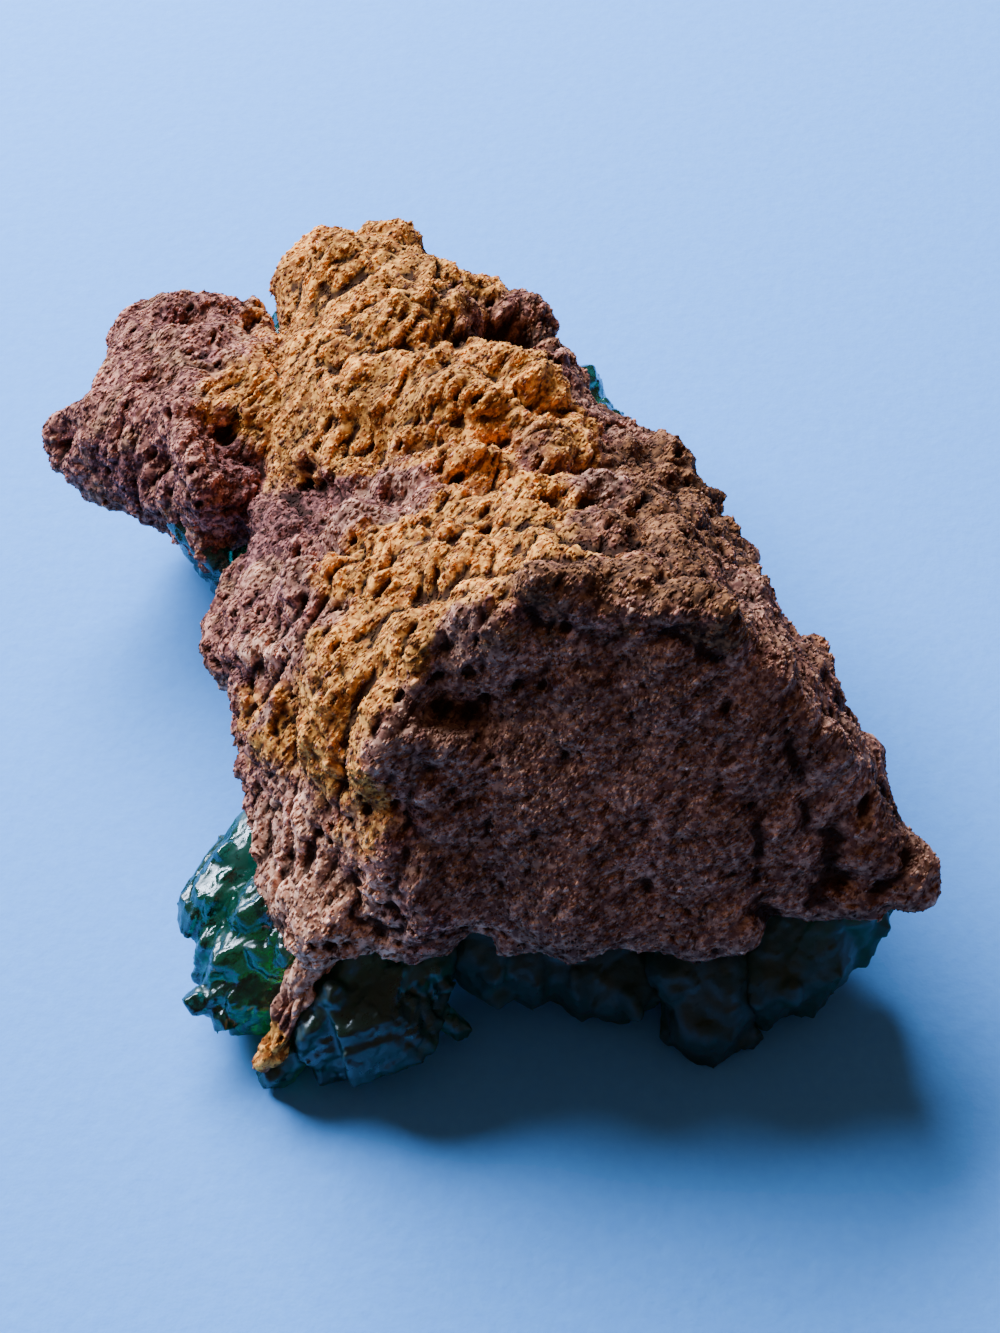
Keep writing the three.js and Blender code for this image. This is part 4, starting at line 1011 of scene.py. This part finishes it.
def with_sprouts(random, crystals):
    """Small crystals that lean out from the flanks of larger ones."""
    made = []
    for _ in range(round(SPROUTS["each"] * len(crystals))):
        root, tip, radius, _ = crystals[random.integers(len(crystals))]
        across, over, along = axes_of(tip - root)
        angle = random.uniform(0, 2 * math.pi)
        out = math.cos(angle) * across + math.sin(angle) * over
        seat = root + random.uniform(*SPROUTS["from"]) * (tip - root)
        way = unit(out + random.uniform(*SPROUTS["forward"]) * along)
        small = random.uniform(*SPROUTS["radius"])
        reach = radius / max(way @ out, SPROUTS["flattest"])
        reach += random.uniform(*SPROUTS["out"]) * small
        turn = random.uniform(*SPROUTS["turn"])
        made.append(prism(seat, seat + reach * way, small, turn))
    return made


def rosette(x, y, z, count, radius, length, turn):
    """The crystals of one rosette, as rows like those of a cluster."""
    seed = np.array([x, y, z])
    rows = [[*seed, *(seed + MIDDLE_LEAN - length * UP), radius, turn]]
    for k in range(count):
        around = math.radians(turn + 360 * k / count)
        lean = math.radians(RING["lean"] if k % 2 else RING["far_lean"])
        middle, swing = RING["length"]
        reach = length * (middle + swing * math.sin(RING_VARIETY["length"] * k + turn))
        middle, swing = RING["width"]
        width = radius * (middle + swing * math.cos(RING_VARIETY["width"] * k))
        out = math.sin(lean) * np.array([math.cos(around), math.sin(around), 0])
        tip = seed + reach * (out - math.cos(lean) * UP)
        rows.append([*seed, *tip, width, RING_VARIETY["turn"] * k])
    return rows


# Dioptase is clear and deep green, so thin edges look turquoise and thick crystals dark.  The
# faces are a little dull, with fine growth hillocks.
HILLOCKS = (0.9, 5, 0.12)       # size, detail and depth, drawn coarse enough to show
dioptase, surface, _, (dull_spots,) = finish("clear_dioptase", HILLOCKS, (1.6, 4))
DULLNESS = {"fresh": 0.08, "worn": 0.4, "spread": 0.3, "spots": (0.35, 0.7)}
LET_THROUGH = (0.02, 0.83, 0.67, 1.0)    # of red, green and blue; the rest is what a millimetre
ABSORPTION = 1 / MM                      # takes, as a power of e
wear = node(dioptase, "ShaderNodeAttribute", attribute_name="wear").outputs["Fac"]
sockets = {0: wear, 1: DULLNESS["worn"], 2: DULLNESS["fresh"]}
least = node(dioptase, "ShaderNodeMath", sockets, operation="MULTIPLY_ADD").outputs[0]
sockets = {0: least, 1: DULLNESS["spread"]}
most = node(dioptase, "ShaderNodeMath", sockets, operation="ADD").outputs[0]
sockets = dict(zip(("From Min", "From Max"), DULLNESS["spots"]))
sockets |= {"Value": dull_spots, "To Min": least, "To Max": most}
dull = node(dioptase, "ShaderNodeMapRange", sockets, interpolation_type="SMOOTHSTEP")
fill(surface, {
    "Base Color": linear("#1F8E6E"),
    "Transmission Weight": 0.92,
    "IOR": 1.66,
    "Specular Tint": (1.0, 0.96, 0.94, 1.0),
    "Roughness": dull.outputs[0],
})
sockets = {"Color": LET_THROUGH, "Density": ABSORPTION}
absorption = node(dioptase, "ShaderNodeVolumeAbsorption", sockets).outputs[0]
fill(dioptase.node_tree.nodes["Material Output"], {"Volume": absorption})

# The specimen stands on its crystals, so their tips are cut off level with the table.
SLAB = np.array([0.1, 0.1, 0.04])      # half its width, half its length and its depth, in metres
slab_mesh = bpy.data.meshes.new("slab")
slab_mesh.from_pydata(
    (SLAB * list(itertools.product((-1, 1), (-1, 1), (-1, 0)))).tolist(), [],
    [(0, 1, 3, 2), (4, 6, 7, 5), (0, 4, 5, 1), (2, 3, 7, 6), (0, 2, 6, 4), (1, 5, 7, 3)],
)
slab = shown("slab", slab_mesh)


def facets(points, cell, seed):
    """Flat facets at all tilts: each place's height on the plane of its nearest seed."""
    apart, tag = nearest_seed(points, cell, seed)
    turn = FACET_TURNS[0] * tag
    ways = np.stack([np.cos(turn), np.sin(turn), np.cos(FACET_TURNS[1] * turn)], axis=1)
    return cell * (apart * ways).sum(axis=1)


def without_voids(piece):
    """Only the largest body of a mesh, without the small closed voids left between crystals:
    each place takes the lowest number among its neighbours until nothing changes."""
    places, faces = places_of(piece), triangles_of(piece)
    body = np.arange(len(places))
    settled = False
    while not settled:
        lowest = body.copy()
        for near, far in ((0, 1), (1, 2), (2, 0), (1, 0), (2, 1), (0, 2)):
            np.minimum.at(lowest, faces[:, near], body[faces[:, far]])
        lowest = lowest[lowest]
        settled = np.array_equal(lowest, body)
        body = lowest
    kept = body == np.bincount(body).argmax()
    faces = (np.cumsum(kept) - 1)[faces[kept[faces[:, 0]]]]
    name = piece.name
    bpy.data.objects.remove(piece)
    return mesh_object(name, places[kept], faces)


def worn(name, pieces, wear):
    """One body out of several crystals.  Their joined skin is drawn again on a grid, smoothed,
    and moved in and out along its own way by clouds of several sizes, and by facets."""
    whole = joined(name, pieces)
    redrawn = whole.modifiers.new("one_skin", "REMESH")
    given(redrawn, mode="VOXEL", voxel_size=wear["grid"] * MM)
    rounded = whole.modifiers.new("rounded", "SMOOTH")
    given(rounded, factor=0.5, iterations=wear["rounding"])
    whole = without_voids(joined(name, [whole]))
    places = places_of(whole)
    moved = sum(rise * cloud(places, size, ETCHING_SEED) for size, rise in wear["etching"])
    moved += sum(tilt * facets(places, cell, FACET_SEED) for cell, tilt in FACETS)
    places += moved[:, None] * rows_of(whole.data.vertex_normals, "vector")
    whole.data.vertices.foreach_set("co", ((places + CENTRING) * MM).astype(np.float32).ravel())
    whole.data.update()
    return whole


GROUPS = {**CLUSTERS, **{name: rosette(*seed) for name, seed in ROSETTES.items()}}
for number, (name, rows) in enumerate(GROUPS.items()):
    random = np.random.default_rng(CRYSTAL_SEED + number)
    ends = np.array(rows, float)
    crystals = [(end[:3], end[3:6], *row[6:]) for end, row in zip(ends, rows)]
    prisms = [piece for crystal in crystals for piece in with_steps(random, *crystal)]
    prisms += with_sprouts(random, crystals)
    wear = WEAR if name in MOST_WORN else LEAST_WEAR
    cluster = worn(name.replace("_crystals", "_dioptase"), prisms, wear)
    trim = cluster.modifiers.new("level_with_the_surface", "BOOLEAN")
    given(trim, operation="DIFFERENCE", solver="MANIFOLD", object=slab)
    cluster = joined(cluster.name, [cluster])
    mesh = cluster.data
    mesh.polygons.foreach_set("use_smooth", np.ones(len(mesh.polygons), bool))
    dull = 1.0 if name in MOST_WORN else HALF_WORN.get(name, 0.0)
    set_number(cluster, "wear", np.full(len(mesh.vertices), dull))
    clad(cluster, dioptase)
    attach(cluster, "root")
    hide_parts(name)
bpy.data.objects.remove(slab)

# ---- table, window light and camera -----------------------------------------------------
# Pale paper on a table, one large soft light from behind on the left, as from a window, and
# a camera that looks down on the specimen.

TARGET = Vector((2.94, -10.35, 14)) * MM
DISTANCE = 181.4 * MM
ELEVATION = math.radians(50)
LENS = 70                       # on a 36 mm sensor
COCKLES = (1.4, 3, 0.12)        # size, detail and depth
PAPER = [(0.1, 0.35, 0.92, 1), (0.135, 0.45, 1, 1)]     # where its fibres are thick, and thin
WINDOW = {"shape": "RECTANGLE", "size": 0.54, "size_y": 0.16, "energy": 11.7}
WINDOW_COLOUR = (0.76, 0.96, 1.26)
WINDOW_DISTANCE = 0.5
WINDOW_WAY = Vector((-0.46, 0.66, 0.56)).normalized()
ROOM = {"Color": (1.0, 0.76, 0.64, 1), "Strength": 0.13}

paper_mesh = bpy.data.meshes.new("paper")
paper_mesh.from_pydata([(-2, -2, 0), (2, -2, 0), (2, 2, 0), (-2, 2, 0)], [], [(0, 1, 2, 3)])
paper = shown("paper", paper_mesh)
paper_finish, surface, _, (fibres,) = finish("pale_blue_paper", COCKLES, (0.9, 3))
sockets = {FACTOR: fibres, UNDER: PAPER[0], OVER: PAPER[1]}
tint = node(paper_finish, "ShaderNodeMix", sockets, data_type="RGBA").outputs[MIXED]
fill(surface, {"Base Color": tint, "Roughness": 0.9})
clad(paper, paper_finish)


def facing(name, data, way, distance):
    """A light or camera that looks at the specimen from one way and distance."""
    made = shown(name, data)
    made.location = TARGET + distance * way
    made.rotation_euler = way.to_track_quat("Z", "Y").to_euler()
    return made


window = given(bpy.data.lights.new("window", "AREA"), **WINDOW, color=WINDOW_COLOUR)
facing("window", window, WINDOW_WAY, WINDOW_DISTANCE)

world = bpy.data.worlds.new("room")
bpy.context.scene.world = world
world.use_nodes = True
fill(world.node_tree.nodes["Background"], ROOM)

camera_data = given(bpy.data.cameras.new("camera"), lens=LENS, clip_start=0.01)
back = Vector((0, -math.cos(ELEVATION), math.sin(ELEVATION)))
bpy.context.scene.camera = facing("camera", camera_data, back, DISTANCE)
